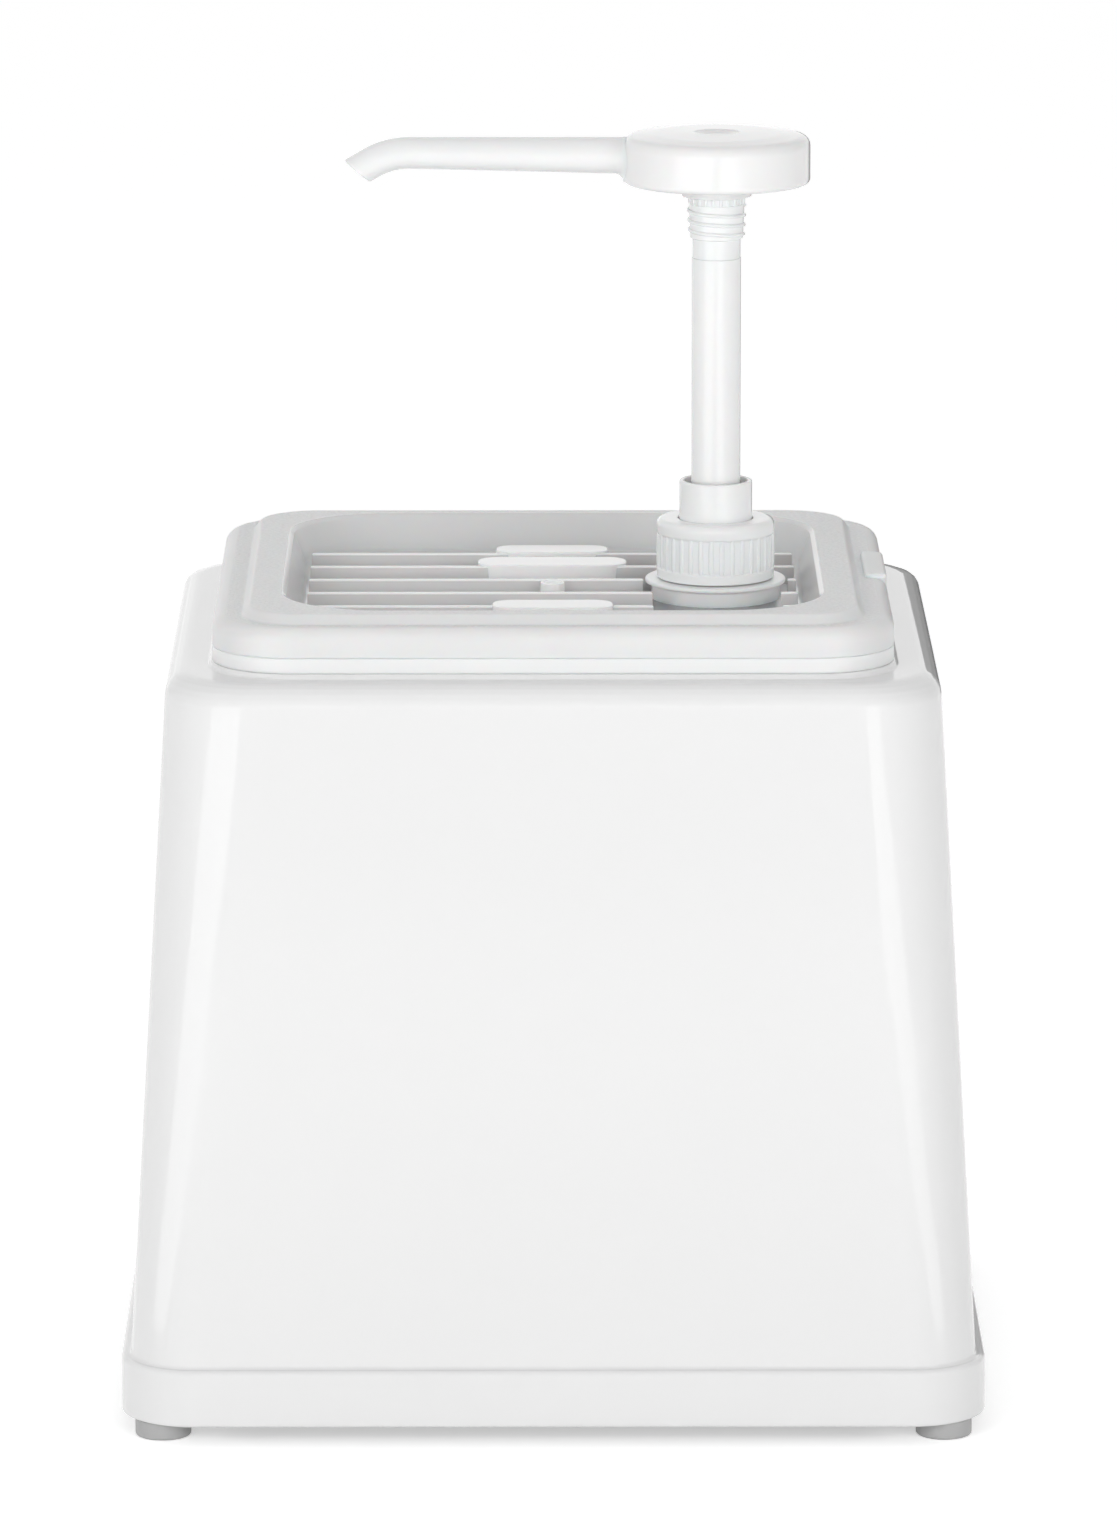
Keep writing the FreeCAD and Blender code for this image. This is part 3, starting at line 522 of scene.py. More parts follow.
def corner_plate(x, y):
    """Disc in a corner of the housing, trimmed by the wall, with the hole for a foot's stem."""
    edge = []
    for i in range(PLATE_STEPS):
        angle = 2 * math.pi * i / PLATE_STEPS
        reach = PLATE_R
        while not inside_plan(x + reach * math.cos(angle), y + reach * math.sin(angle)):
            reach -= 0.1
        edge.append((x + reach * math.cos(angle), y + reach * math.sin(angle)))
    hole = [round_ring(PLATE_HOLE_R, z, x, y, PLATE_STEPS) for z in (PLATE_LOW, PLATE_TOP)]
    rim = [[(*p, z) for p in edge] for z in (PLATE_LOW, PLATE_TOP)]
    return sweep([hole[0], rim[0], rim[1], hole[1]], closed=True)


feet_at = {"foot_%s_%s" % (end, side): (sx * FOOT_X, sy * FOOT_Y)
           for end, sy in (("front", -1), ("rear", 1)) for side, sx in (("left", -1), ("right", 1))}
housing += [corner_plate(x, y) for x, y in feet_at.values()]
fit(solid("housing_moulding", housing, shell_white), "stand", "housing", "housing_shell")

# %% [markdown]
# ## Feet
# Four soft grey buttons whose stems snap through the corner plates. A shallow hollow in the sole makes
# each one stand on its edge and grip.

# %% Feet
for name, (x, y) in feet_at.items():
    button = lathe([(0, 0.5, 0), (5.0, 0.5, 0.3), (5.4, 0, 0.3), (7.25, 0, 0.8), (7.25, 4.5, 0.25),
                    (3, 4.5, 0), (3, 8.1, 0), (4.2, 8.1, 0.3), (1.8, 10.6, 0.5), (0, 10.6, 0)],
                   closed=False, x=x, y=y, steps=64)
    fit(solid(name + "_button", [button], foot_rubber), "stand", "foot_rubber", name)

# %% [markdown]
# ## Container
# A one-sixth catering pan. With the lid on, only the edge of its flange shows as a bright line, but the
# lid lifts off, so the inside is finished as well.

# %% Container
pan = boxed([
    (40, 52, 33, 10, 0), (73, 52, 66, 14, 9), (77.9, 199.6, 70.9, 14, 1.2), (85.6, 199.6, 78.6, 18.6, 0.6),
    (85.6, 198, 78.6, 18.6, 0.5), (88, 198, 81, 21, 0.4), (88, 202, 81, 21, 0.3), (75.6, 202, 68.6, 14, 1.6),
    (70.7, 54.4, 63.7, 14, 6.6), (40, 54.4, 33, 10, 0)], caps=True)
fit(solid("container_pan", [pan], tub_white), "container_body", "container", "container")

# %% [markdown]
# ## Lid
# The lid is a shallow tray turned inside out: a skirt that sits on the container, a raised plateau with a
# spark-eroded grain, and a deep recess with polished walls. The profile is swept round a rectangle. The
# two flat floors have a hole for the pump's neck, so they are filled by a triangulation between outlines.

# %% Lid shell
FLOOR_Z, FLOOR_LOW = 203.0, 200.8
FLAT_HALF, FLAT_R = 60, 18  # plan of the flat part of the floor
NECK_HOLE = 14.8
lid_line = [
    (67.1, 200.8, 67.1, 23.6, 0.8), (70.8, 210.4, 70.8, 27.3, 0.4), (76.4, 210.4, 73.2, 13, 0.5),
    (77.8, 207.8, 74.8, 13.5, 0.5), (85, 207.8, 78, 18, 0.6), (85, 202, 78, 18, 0.4), (88, 202, 81, 21, 0.3),
    (88, 210, 81, 21, 3.6), (80.2, 210, 77, 15, 0.9), (78.4, 212.6, 75.1, 14, 1.2),
    (70.3, 212.6, 70.3, 26.8, 0.5), (69.2, 211.8, 69.2, 25.7, 0.5), (65.8, 203, 65.8, 22.3, 1.5)]
flat_low, flat_top = ((FLAT_HALF, z, FLAT_HALF, FLAT_R, 0) for z in (FLOOR_LOW, FLOOR_Z))
lid_line = [flat_low] + lid_line + [flat_top]


def holed_floor(z, up):
    """Flat floor between the plan outline and the hole for the neck."""
    rim = [p[:2] for p in plan_ring(FLAT_HALF, z, FLAT_HALF, FLAT_R)]
    hole = [p[:2] for p in round_ring(NECK_HOLE, z)]
    loops = [[(i, (i + 1) % len(rim)) for i in range(len(rim))],
             [(len(rim) + (i + 1) % len(hole), len(rim) + i) for i in range(len(hole))]]
    points = [Vector(p) for p in rim + hole]
    flat, _, faces, *_ = delaunay_2d_cdt(points, loops[0] + loops[1], [], 1, 1e-6)
    verts = [(p.x, p.y, z) for p in flat]
    middle = [sum((flat[i] for i in f), Vector((0, 0))) / len(f) for f in faces]
    faces = [f for f, m in zip(faces, middle) if (m - Vector((PUMP_X, 0))).length > NECK_HOLE * 0.99]
    turned = []
    for f in faces:
        a, b, c = (flat[i] for i in f[:3])
        faces_up = (b - a).cross(c - a) > 0
        turned.append(tuple(f) if faces_up == up else tuple(reversed(f)))
    return verts, turned


FROST, GLOSS, SIDE, PAINTED_HIGHLIGHT = range(4)  # order of the finishes on the lid
# limits of the bands, in metres like the mesh's faces
# the end of the grip tab gets a painted highlight
TAB_END_X, TAB_END_Y, TAB_END_Z = 0.0815, (-0.012, -0.0095), 0.20995
RECESS_MID, RECESS_R, RECESS_Z = 0.0435, 0.0269, 0.2029
PLATEAU_Z, FLANGE_Z, FLAT_GAP = 0.21255, 0.21, 0.00005


def lid_band(x, y, z):
    """Grain on the two level tops, polish in the recess, a painted highlight on the end of the grip tab,
    plain on the rest.
    """
    if x > TAB_END_X and TAB_END_Y[0] < y < TAB_END_Y[1] and z > TAB_END_Z:
        return PAINTED_HIGHLIGHT
    corner = math.hypot(max(abs(x) - RECESS_MID, 0), max(abs(y) - RECESS_MID, 0))
    if corner < RECESS_R and z > RECESS_Z:
        return GLOSS
    return FROST if z > PLATEAU_Z or abs(z - FLANGE_Z) < FLAT_GAP else SIDE


def grip_tab(x, y_low, y_high):
    """Smooth raised tab on the lid's edge, where the fingers lift it."""
    half = (y_high - y_low) / 2
    tab = boxed([(3.0, 203.5, half, 2.4, 0), (3.0, 210.9, half, 2.4, 1.6), (1.0, 210.9, half - 2, 0.6, 0)],
                caps=True)
    return shifted(tab, x, y_low + half)


# A thin wall on each side drops inside the container and keeps the lid in place.
LOCATOR_X = 73.5
locator = boxed([(1.1, 199, 45, 0.9, 0.4), (1.1, 211, 45, 0.9, 0)], caps=True)
lid_parts = [boxed(lid_line), holed_floor(FLOOR_Z, True), holed_floor(FLOOR_LOW, False),
             sweep([round_ring(NECK_HOLE, FLOOR_Z), round_ring(NECK_HOLE, FLOOR_LOW)]),
             grip_tab(x=84.9, y_low=-11.6, y_high=23.0),
             shifted(locator, -LOCATOR_X), shifted(locator, LOCATOR_X)]
lid = solid("lid_tray", lid_parts, lid_frost, lid_gloss, lid_side, lid_painted_highlight, bands=lid_band)
fit(lid, "lid_body", "lid", "lid")

# %% [markdown]
# ## Ribs
# Five low ribs stiffen the recess. They are one bar repeated at a fixed pitch, so Geometry Nodes make
# them: a tapered bar on every point of a line, cut back round the pump's neck and in the bay before it.

# %% Ribs by Geometry Nodes
def keep_result(piece, tool):
    """Keep what a modifier makes of a piece as its mesh, and take the modifier away."""
    bpy.context.view_layer.update()
    seen_by = bpy.context.evaluated_depsgraph_get()
    made = bpy.data.meshes.new_from_object(piece.evaluated_get(seen_by))
    piece.modifiers.remove(tool)
    piece.data = made


def grown(name, group, values):
    """Plain mesh object from a Geometry Nodes group. Values are set by each socket's identifier."""
    host = bpy.data.objects.new(name, bpy.data.meshes.new(name))
    scene.collection.objects.link(host)
    tool = host.modifiers.new(group.name, "NODES")
    tool.node_group = group
    for item in group.interface.items_tree:
        if item.in_out == "INPUT" and item.name in values:
            tool[item.identifier] = values[item.name]
    keep_result(host, tool)
    return host


def chain(group, kind, props=(), **inputs):
    """New node. Keywords name its inputs with _ for a space, and props are (name, value) pairs."""
    node = group.nodes.new(kind)
    for key, value in props:
        setattr(node, key, value)
    for key, value in inputs.items():
        feed(group, node.inputs[key.replace("_", " ")], value)
    return node


def hand_out(group, given, taken, mesh):
    """Give a tree's mesh the material it was handed, and put it out."""
    dress = chain(group, "GeometryNodeSetMaterial", Geometry=mesh, Material=given.outputs["Material"])
    group.links.new(dress.outputs[0], taken.inputs["Geometry"])


rib_group, g_in, g_out = new_group(
    "rib_bank", "GeometryNodeTree",
    (("Geometry", "Geometry", None), ("Count", "Int", 5), ("Pitch", "Float", 0.0188), ("Bar", "Vector", None),
     ("Draft", "Float", 0.7), ("Floor", "Float", 0.203), ("Neck X", "Float", 0.043),
     ("Neck Radius", "Float", 0.02), ("Bay", "Vector", None), ("Bay Y", "Float", -0.03),
     ("Material", "Material", None)),
    (("Geometry", "Geometry", None),))
g = rib_group
cube = chain(g, "GeometryNodeMeshCube", Size=g_in.outputs["Bar"])
where = chain(g, "GeometryNodeInputPosition")
parts_xyz = chain(g, "ShaderNodeSeparateXYZ", Vector=where.outputs[0])
is_top = chain(g, "FunctionNodeCompare", [("operation", "GREATER_THAN")], A=parts_xyz.outputs["Z"], B=0.0)
slim_y = calc(g, "MULTIPLY", parts_xyz.outputs["Y"], g_in.outputs["Draft"])
slim = chain(g, "ShaderNodeCombineXYZ", X=parts_xyz.outputs["X"], Y=slim_y, Z=parts_xyz.outputs["Z"])
bar = chain(g, "GeometryNodeSetPosition", Geometry=cube.outputs["Mesh"], Selection=is_top.outputs[0],
            Position=slim.outputs[0])
span = calc(g, "SUBTRACT", g_in.outputs["Count"], 1)
reach_y = calc(g, "MULTIPLY", span, g_in.outputs["Pitch"])
first_y = calc(g, "MULTIPLY", reach_y, -0.5)
start = chain(g, "ShaderNodeCombineXYZ", Y=first_y, Z=g_in.outputs["Floor"])
step = chain(g, "ShaderNodeCombineXYZ", Y=g_in.outputs["Pitch"])
row = chain(g, "GeometryNodeMeshLine", Count=g_in.outputs["Count"], Start_Location=start.outputs[0],
            Offset=step.outputs[0])
copies = chain(g, "GeometryNodeInstanceOnPoints", Points=row.outputs["Mesh"], Instance=bar.outputs[0])
real = chain(g, "GeometryNodeRealizeInstances", Geometry=copies.outputs[0])
plug = chain(g, "GeometryNodeMeshCylinder", Vertices=64, Radius=g_in.outputs["Neck Radius"], Depth=0.03)
plug_at = chain(g, "ShaderNodeCombineXYZ", X=g_in.outputs["Neck X"], Z=g_in.outputs["Floor"])
plug_put = chain(g, "GeometryNodeTransform", Geometry=plug.outputs["Mesh"], Translation=plug_at.outputs[0])
cut = chain(g, "GeometryNodeMeshBoolean", [("operation", "DIFFERENCE")])
g.links.new(real.outputs[0], cut.inputs["Mesh 1"])
g.links.new(plug_put.outputs[0], cut.inputs["Mesh 2"])
bay = chain(g, "GeometryNodeMeshCube", Size=g_in.outputs["Bay"])
bay_at = chain(g, "ShaderNodeCombineXYZ", X=g_in.outputs["Neck X"], Y=g_in.outputs["Bay Y"],
               Z=g_in.outputs["Floor"])
bay_put = chain(g, "GeometryNodeTransform", Geometry=bay.outputs["Mesh"], Translation=bay_at.outputs[0])
g.links.new(bay_put.outputs[0], cut.inputs["Mesh 2"])
hand_out(g, g_in, g_out, cut.outputs["Mesh"])

RIB_TOP = 207.6
BAR_H = 2 * (RIB_TOP - FLOOR_Z)  # half of each bar is above the floor
ribs = grown("lid_ribs", rib_group, {
    "Count": 5, "Pitch": 18.8 * MM, "Bar": (128.6 * MM, 3.2 * MM, BAR_H * MM), "Draft": 0.69,
    "Floor": FLOOR_Z * MM, "Neck X": PUMP_X * MM, "Neck Radius": 19.0 * MM,
    "Bay": (33.6 * MM, 60 * MM, 30 * MM), "Bay Y": -32 * MM, "Material": lid_rib_painted_shade})
print("ribs", len(ribs.data.vertices), "vertices", tuple(round(v, 4) for v in ribs.dimensions))

# %% [markdown]
# A modifier can finish what the nodes made. Bevel rounds the long edges of the ribs by a third of a
# millimetre. The crests of the ribs, the faces that look up, get a pale finish as a painted highlight, and
# the faces get a darker finish as painted shade, so each rib shows as a bright line.

# %% Round the ribs
CREST_SLOPE = 0.15  # a face that looks up more than this belongs to the crest
edge = ribs.modifiers.new("edge", "BEVEL")
edge.width = 0.35 * MM
edge.segments = 3
edge.limit_method = "ANGLE"
edge.angle_limit = math.radians(40)
keep_result(ribs, edge)
ribs.data.shade_smooth()
ribs.data.set_sharp_from_angle(angle=SHARP_ANGLE)
ribs.data.materials.clear()
for skin in (lid_rib_painted_shade, lid_painted_highlight):
    ribs.data.materials.append(skin)
# faces that look up take the painted highlight, the others the painted shade
for face in ribs.data.polygons:
    face.material_index = int(face.normal.z > CREST_SLOPE)
fit(ribs, "lid_body", "lid")

# %% [markdown]
# ## Pads and gate mark
# Three long pads stand on the ribs where a maker would mould wording. They are left bare here. The small
# round mark between them is where the plastic entered the mould, with a shallow dish round it.

# %% Pads and gate mark
PAD_FOOT, PAD_TOP = 202.9, 208.1
GATE_DISH = 206.8
pads = []
for length, depth, y in ((30.0, 11.0, 41.8), (39.6, 13.0, 23.4), (31.5, 12.0, -37.6)):
    half_x, half_y = length / 2, depth / 2
    pad = boxed([(half_x, PAD_FOOT, half_y, half_y - 1, 0), (half_x, PAD_TOP, half_y, half_y - 1, 0.4),
                 (half_x - 3, PAD_TOP, half_y - 3, half_y - 4, 0)], caps=True)
    pads.append(shifted(pad, y=y))
pads.append(lathe([(0, PAD_FOOT, 0), (3.4, PAD_FOOT, 0), (3.2, RIB_TOP, 0.3), (2.3, RIB_TOP, 0.3),
                   (1.7, GATE_DISH, 0.3), (0, GATE_DISH, 0)], closed=False, x=0, y=-4.2, steps=48))
# the pads and the gate mark take the paler finish, a painted highlight
fit(solid("lid_pads", pads, lid_painted_highlight), "lid_body", "lid")

# %% [markdown]
# ## Neck
# The pump stands on a threaded neck with a thin rounded flange, clamped through the lid by a nut and a
# gasket below. The fitting is natural, slightly milky plastic, and duller than the glossy pump. The nut
# keeps the shape of its solid and only gets a finish.

# %% Neck, gasket and nut
def refinish(node, material):
    """Give a CAD node a finish and leave its shape alone."""
    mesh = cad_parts[node].data
    mesh.materials.clear()
    mesh.materials.append(material)
    print(node, "keeps its shape and gets", material.name)


neck = lathe([(11.55, 188.5, 0.4), (14.5, 188.5, 0.4), (14.5, 203, 0), (17.0, 203, 0), (16.8, 206.9, 0.4),
              (18.5, 207.1, 0.4), (18.5, 208.2, 0.5), (13.7, 208.2, 0.3), (13.7, 217.7, 0.3),
              (11.55, 217.7, 0.3)])
fit(solid("neck_turning", [neck], neck_milky), "lid_body", "lid", "neck_fitting")
gasket = lathe([(14.8, 199.3, 0.3), (19.8, 199.3, 0.3), (19.8, 200.8, 0.3), (14.8, 200.8, 0.3)])
fit(solid("gasket_ring", [gasket], seal_grey), "lid_body", "seal", "neck_gasket")
refinish("neck_nut", neck_milky)

# %% [markdown]
# ## Screw cap
# The cap is turned, with a smooth shoulder, a plain band at the foot and a fluted belt between them for
# the fingers. The ridges of the belt repeat round a circle, so Geometry Nodes place them.

# %% Cap body and its ridges
cap = lathe([(14.1, 208.5, 0.3), (15.4, 208.5, 0.4), (15.55, 211.0, 0.3), (15.15, 211.5, 0.3),
             (15.15, 220.0, 0.3), (15.5, 220.6, 0.4), (15.5, 224.2, 1.6), (9.9, 224.2, 0.3),
             (9.9, 222.2, 0.2), (14.1, 222.2, 0.4)], steps=144)
fit(solid("cap_body", [cap], pump_white), "cap_body", "pump", "screw_cap")

ridge_group, g_in, g_out = new_group(
    "ridge_belt", "GeometryNodeTree",
    (("Geometry", "Geometry", None), ("Count", "Int", 36), ("Belt Radius", "Float", 0.015),
     ("Ridge", "Vector", None), ("Centre", "Vector", None), ("Material", "Material", None)),
    (("Geometry", "Geometry", None),))
g = ridge_group
BLUNT_ENDS = 0.35  # a power below 1 turns a ball into a bar with round ends
belt = chain(g, "GeometryNodeMeshCircle", Vertices=g_in.outputs["Count"], Radius=g_in.outputs["Belt Radius"])
bead = chain(g, "GeometryNodeMeshUVSphere", Segments=12, Rings=14, Radius=1.0)
bead_at = chain(g, "GeometryNodeInputPosition")
bead_xyz = chain(g, "ShaderNodeSeparateXYZ", Vector=bead_at.outputs[0])
sign = calc(g, "SIGN", bead_xyz.outputs["Z"])
blunt = calc(g, "POWER", calc(g, "ABSOLUTE", bead_xyz.outputs["Z"]), BLUNT_ENDS)
long_bead = chain(g, "ShaderNodeCombineXYZ", X=bead_xyz.outputs["X"], Y=bead_xyz.outputs["Y"],
                  Z=calc(g, "MULTIPLY", sign, blunt))
stretch = calc(g, "MULTIPLY", long_bead.outputs[0], g_in.outputs["Ridge"], kind="ShaderNodeVectorMath")
ridge = chain(g, "GeometryNodeSetPosition", Geometry=bead.outputs["Mesh"], Position=stretch)
out_from = chain(g, "GeometryNodeInputPosition")
aim = chain(g, "FunctionNodeAlignRotationToVector", [("axis", "X")], Vector=out_from.outputs[0])
copies = chain(g, "GeometryNodeInstanceOnPoints", Points=belt.outputs["Mesh"], Instance=ridge.outputs[0],
               Rotation=aim.outputs[0])
moved = chain(g, "GeometryNodeTransform", Geometry=copies.outputs[0], Translation=g_in.outputs["Centre"])
real = chain(g, "GeometryNodeRealizeInstances", Geometry=moved.outputs[0])
hand_out(g, g_in, g_out, real.outputs[0])
ridges = grown("cap_ridges", ridge_group, {
    "Count": 34, "Belt Radius": 15.1 * MM, "Ridge": (0.45 * MM, 0.70 * MM, 4.9 * MM),
    "Centre": (PUMP_X * MM, 0, 215.6 * MM), "Material": pump_white})
ridges.data.shade_smooth()
fit(ridges, "cap_body", "pump")

# %% [markdown]
# ## Collar and stem
# The collar closes the chamber and guides the stem. Its mouth is wider than the stem, because the spigot
# under the head screws down into it for transport. The stem is a plain tube with a fine seam below the head.

# %% Collar and stem
collar = lathe([(6.55, 220.4, 0.2), (13.8, 220.4, 0.2), (13.8, 222.1, 0.2), (9.6, 222.1, 0.5),
                (9.6, 234.3, 0.5), (8.4, 234.3, 0.4), (8.4, 227, 0.3), (6.55, 227, 0.4)])
fit(solid("collar_turning", [collar], pump_white), "pump_body", "pump", "pump_collar")
stem = lathe([(4, 210.1, 0.2), (6.45, 210.1, 0.2), (6.45, 293.37, 0.1), (4.95, 293.37, 0),
              (4.95, 303.8, 0.2), (3.6, 303.8, 0.2), (2.3, 302.5, 0.2), (2.3, 293.3, 0), (4, 291.6, 0)])
fit(solid("stem_tube", [stem], pump_white), "plunger", "pump", "stem")

# %% [markdown]
# ## Pump head and spout
# The head is a shallow turned button with a domed top and a hollow underside. The spout grows out of its
# side with a soft root, tapers a little, bends down and ends in a slanted mouth. Its skin is a row of rings
# along the spout's path, and the first rings lie on the head's own surface, so that the two flow together.

# %% Head
SPOUT_Z = 320.4
HEAD_R = 24.5
head = lathe([(0, SPOUT_Z, 0), (5, SPOUT_Z, 0), (5, 293.4, 0.2), (6.3, 293.4, 0.08), (6.3, 298.5, 0.2),
              (6.95, 298.7, 0.2), (7.3, 307.6, 0.2), (7.1, 307.8, 0.1), (7.1, 309.7, 0.2), (9.15, 309.7, 0.3),
              (9.15, 313.2, 0.3), (11, 313.2, 0.4), (11, 323, 0.8), (21.7, 323, 0.8), (21.7, 313.2, 0.5),
              (HEAD_R, 313.2, 1.6), (HEAD_R, 325.5, 2.6), (16.5, 326.2, 10), (6.2, 326.46, 0.5),
              (5.4, 326.2, 0.4), (3.2, 325.75, 2), (0, 325.6, 0)], closed=False, steps=128)


def spout_rings():
    """Rings of the outer skin from the head to the mouth, then of the bore back inside."""
    bend, mitre = math.radians(30), math.radians(50)
    root_r, tip_r, bore_r, bend_r = 4.8, 4.15, 2.5, 20.0
    reach, straight, flare, lift = 94, 4.15, 2.4, 0.65
    start_x = PUMP_X - HEAD_R - 3.5
    elbow_x = PUMP_X - reach + bend_r * math.sin(bend) + straight * math.cos(bend)
    steps = 48
    around = [2 * math.pi * i / steps for i in range(steps)]
    rings = []
    for share in np.linspace(1, 0, 9):
        ring = []
        for a in around:
            # the soft root fades out towards the top of the spout
            round_off = flare * min(1, max(0, (1.02 - math.sin(a)) / 1.2))
            rho = root_r + round_off * (1 - math.cos(share * math.pi / 2))
            y, z = rho * math.cos(a), rho * math.sin(a)
            on_head = PUMP_X - math.sqrt(HEAD_R ** 2 - y * y) + 0.05
            ring.append((on_head - round_off * (1 - math.sin(share * math.pi / 2)), y, SPOUT_Z + z))
        rings.append(ring)
    inside = [(PUMP_X - 14, root_r * math.cos(a), SPOUT_Z + root_r * math.sin(a)) for a in around]
    rings.insert(0, inside)
    stations = [((start_x + (elbow_x - start_x) * t, SPOUT_Z + lift * t), 0, root_r + (tip_r - root_r) * t)
                for t in np.linspace(0, 1, 12)]
    for turn in np.linspace(0, bend, 13)[1:]:
        drop = bend_r * (1 - math.cos(turn))
        stations.append(((elbow_x - bend_r * math.sin(turn), SPOUT_Z + lift - drop), turn, tip_r))
    (end_x, end_z), _, _ = stations[-1]
    mouth = np.array([end_x - straight * math.cos(bend), end_z - straight * math.sin(bend)])
    way = np.array([-math.cos(bend), -math.sin(bend)])
    face = np.array([-math.cos(mitre), -math.sin(mitre)])

    def circle(centre, turn, r):
        """Ring round the path at a centre, square to the path's turn."""
        return [(centre[0] - r * math.sin(a) * math.sin(turn), r * math.cos(a),
                 centre[1] + r * math.sin(a) * math.cos(turn)) for a in around]

    def at_mouth(r, back):
        """Ring on the slanted plane of the mouth, or a little back from it."""
        ring = []
        for x, y, z in circle(mouth, bend, r):
            slide = (mouth - np.array([x, z])) @ face / (way @ face) - back
            ring.append((x + way[0] * slide, y, z + way[1] * slide))
        return ring

    rings += [circle(*station) for station in stations]
    lip = ((tip_r, 0.5), (tip_r, 0.25), (tip_r - 0.1, 0.06), (tip_r - 0.3, 0),
           (bore_r + 0.25, 0), (bore_r + 0.05, 0.06), (bore_r, 0.3))
    rings += [at_mouth(r, back) for r, back in lip]
    rings += [circle(centre, turn, bore_r) for centre, turn, _ in reversed(stations)]
    return rings


def bored(rings):
    """Skin over the spout's rings, with the far end of the bore closed."""
    verts, faces = sweep(rings)
    faces = [tuple(reversed(face)) for face in faces]
    count = len(rings[0])
    faces.append(tuple(range(len(verts) - count, len(verts))))
    return verts, faces


fit(solid("head_and_spout", [head, bored(spout_rings())], pump_white), "plunger", "pump", "pump_head")

# %% [markdown]
# ## Wound forms
# The thread on the spigot and the return spring in the chamber are the same thing at two sizes: a round bar
# that follows a helix. One Geometry Nodes tree makes both from its radius, turns, height and bar size. The
# splines above the thread are the cap's ridges once more, smaller.

# %% Thread, splines and spring by Geometry Nodes
coil_group, g_in, g_out = new_group(
    "wound_bar", "GeometryNodeTree",
    (("Geometry", "Geometry", None), ("Turns", "Float", 4.0), ("Low Radius", "Float", 0.007),
     ("High Radius", "Float", 0.007), ("Height", "Float", 0.01), ("Bar Radius", "Float", 0.0006),
     ("Foot", "Vector", None), ("Steps", "Int", 48), ("Material", "Material", None)),
    (("Geometry", "Geometry", None),))
g = coil_group
helix = chain(g, "GeometryNodeCurveSpiral", Resolution=g_in.outputs["Steps"], Rotations=g_in.outputs["Turns"],
              Start_Radius=g_in.outputs["Low Radius"], End_Radius=g_in.outputs["High Radius"],
              Height=g_in.outputs["Height"])
section = chain(g, "GeometryNodeCurvePrimitiveCircle", Resolution=10, Radius=g_in.outputs["Bar Radius"])
bar = chain(g, "GeometryNodeCurveToMesh", Curve=helix.outputs[0], Profile_Curve=section.outputs[0],
            Fill_Caps=True)
put = chain(g, "GeometryNodeTransform", Geometry=bar.outputs[0], Translation=g_in.outputs["Foot"])
real = chain(g, "GeometryNodeRealizeInstances", Geometry=put.outputs[0])
hand_out(g, g_in, g_out, real.outputs[0])
thread = grown("spigot_thread", coil_group, {
    "Turns": 3.0, "Low Radius": 7.0 * MM, "High Radius": 7.4 * MM, "Height": 7.6 * MM,
    "Bar Radius": 0.5 * MM, "Foot": (PUMP_X * MM, 0, 299.6 * MM), "Steps": 64, "Material": pump_white})
splines = grown("neck_splines", ridge_group, {
    "Count": 22, "Belt Radius": 7.1 * MM, "Ridge": (0.4 * MM, 0.45 * MM, 1.1 * MM),
    "Centre": (PUMP_X * MM, 0, 308.7 * MM), "Material": pump_white})
splines.data.shade_smooth()
fit(splines, "plunger", "pump")
spring = grown("spring_coil", coil_group, {
    "Turns": 8.0, "Low Radius": 7.2 * MM, "High Radius": 7.2 * MM, "Height": 75.2 * MM,
    "Bar Radius": 0.6 * MM, "Foot": (PUMP_X * MM, 0, 127.1 * MM), "Steps": 64, "Material": spring_steel})
for coil in (thread, spring):
    coil.data.shade_smooth()
fit(thread, "plunger", "pump")
fit(spring, "pump_body", "spring_wire", "return_spring")
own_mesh(spring)

# %% [markdown]
# ## Inside the pump
# Chamber, dip tube, valves and piston hide under the lid and show when it is lifted. The chamber and the
# tube are natural plastic that lets the spring and the balls show through.

# %% Chamber, tube, valves and piston
chamber = lathe([(5.1, 96, 0.3), (7.1, 96, 0.4), (7.1, 118, 0.8), (11.25, 122.8, 1.2), (11.25, 218.9, 0.3),
                 (13.8, 218.9, 0.3), (13.8, 220.4, 0.2), (10, 220.4, 0.2), (10, 124, 0.4), (4.6, 118, 0.4),
                 (4.6, 112.5, 0.3), (3, 110.5, 0.2), (3, 108, 0.2), (5.1, 108, 0.2)])
fit(solid("chamber_barrel", [chamber], tube_clear), "pump_body", "clear_tube", "pump_chamber")

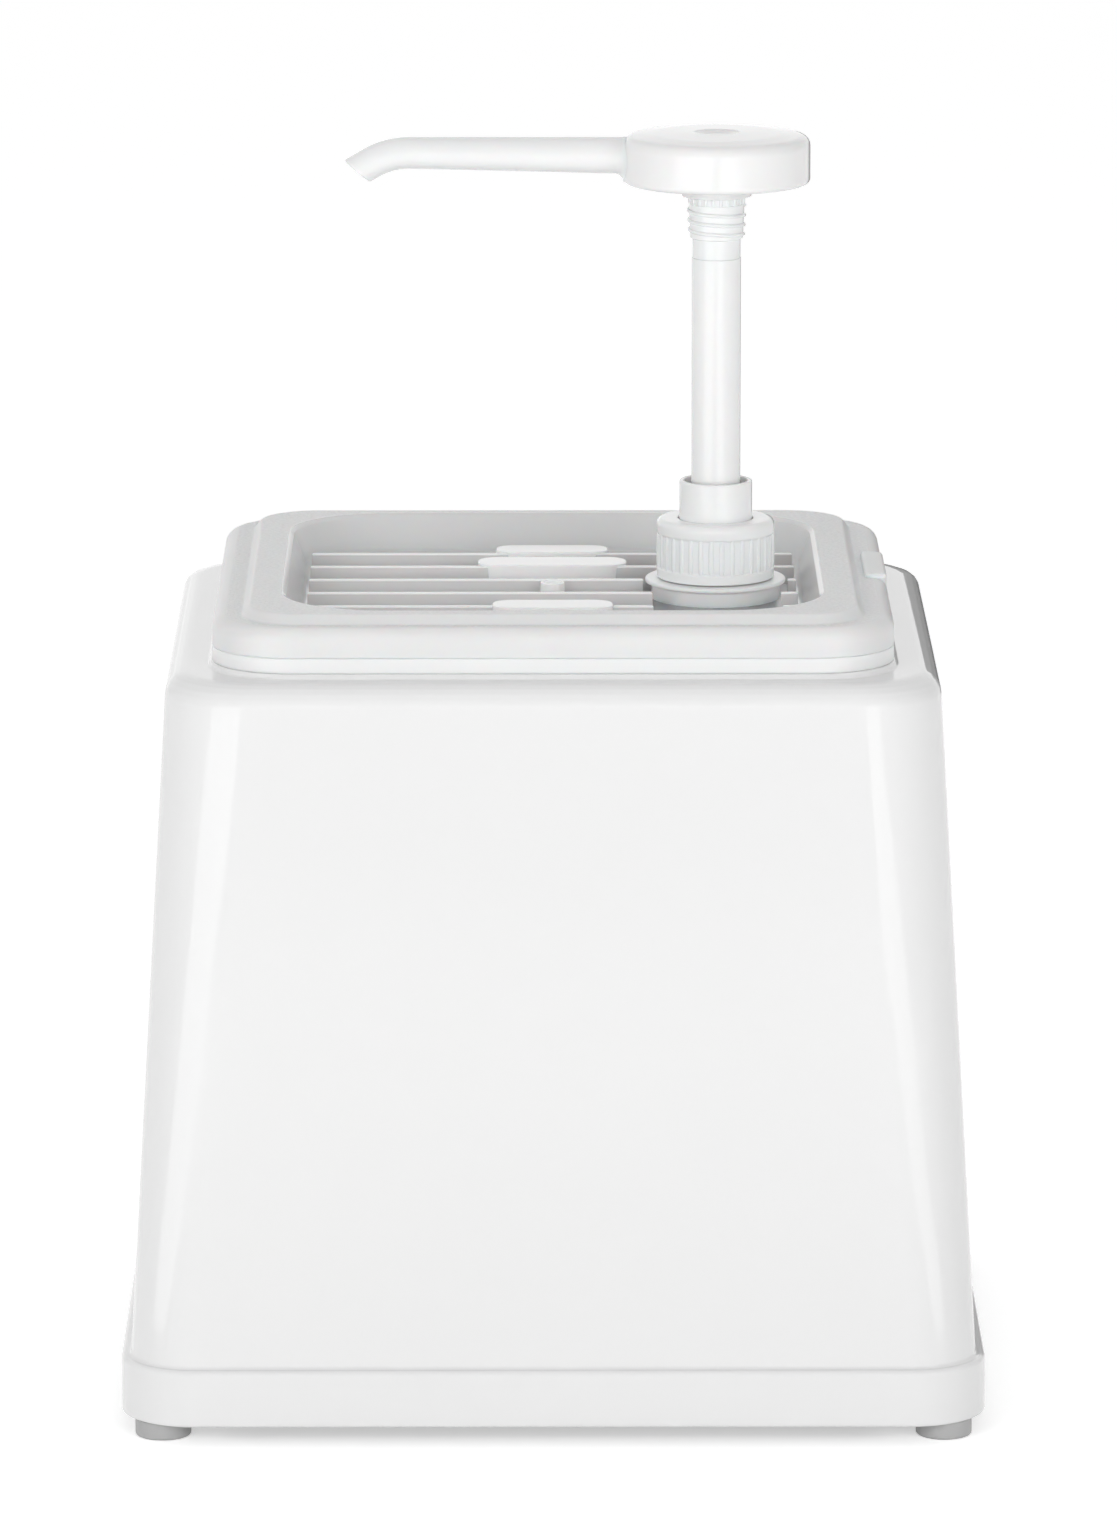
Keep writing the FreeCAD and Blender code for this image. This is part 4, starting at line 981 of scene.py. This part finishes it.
PIPE_R = 5
PIPE_SLANT = 0.5  # rise of the cut at the foot for each step along X
PIPE_FOOT = 60  # points below this height belong to the cut
pipe_verts, pipe_faces = lathe([(3.8, 58.4, 0.2), (PIPE_R, 58.4, 0.2), (PIPE_R, 108, 0.2), (3.8, 108, 0.2)])
slant = [(x, y, z + ((PIPE_R + x - PUMP_X) * PIPE_SLANT if z < PIPE_FOOT else 0)) for x, y, z in pipe_verts]
fit(solid("dip_pipe", [(slant, pipe_faces)], tube_clear), "pump_body", "clear_tube", "dip_tube")


def ball(name, node, body):
    """Ball with the place and size of its CAD node."""
    low, high = (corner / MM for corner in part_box(node))
    middle = (low + high) / 2
    r = (high.z - low.z) / 2
    arc = [(r * math.sin(t), middle.z - r * math.cos(t), 0) for t in np.linspace(0, math.pi, 25)]
    skin = lathe(arc, closed=False, x=middle.x, y=middle.y, steps=48)
    fit(solid(name, [skin], ball_glass), body, "ball", node)


ball("inlet_bead", "inlet_ball", "pump_body")
ball("outlet_bead", "outlet_ball", "plunger")
seal = lathe([(4, 205, 0.3), (9.9, 205, 0.2), (9.9, 207.2, 0.4), (8.7, 208.4, 0.6), (8.7, 214.1, 0.6),
              (9.9, 215.3, 0.4), (9.9, 217.5, 0.2), (6.55, 217.5, 0.2), (6.55, 210, 0.2), (4, 210, 0.2)])
fit(solid("piston_ring", [seal], seal_grey), "piston_body", "seal", "piston_seal")
rod = lathe([(2, 203, 0.2), (8.6, 203, 0.4), (8.6, 204.9, 0.3), (3.9, 204.9, 0.3), (3.9, 230, 0.5),
             (2, 230, 0.3)])
fit(solid("rod_turning", [rod], pump_white), "plunger", "pump", "piston_rod")
washer = lathe([(11.55, 217.7, 0.3), (13.7, 217.7, 0.3), (13.7, 218.9, 0.3), (11.55, 218.9, 0.3)])
fit(solid("washer_ring", [washer], seal_grey), "pump_body", "seal", "sealing_washer")
refinish("ball_retainer", pump_white)

# %% Size and finish
bpy.context.view_layer.update()
boxes = {"cad": cad_box, "visual": [list(corner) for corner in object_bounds()]}
for label, (low, high) in boxes.items():
    print(label, [round((b - a) / MM, 1) for a, b in zip(low, high)], "mm")
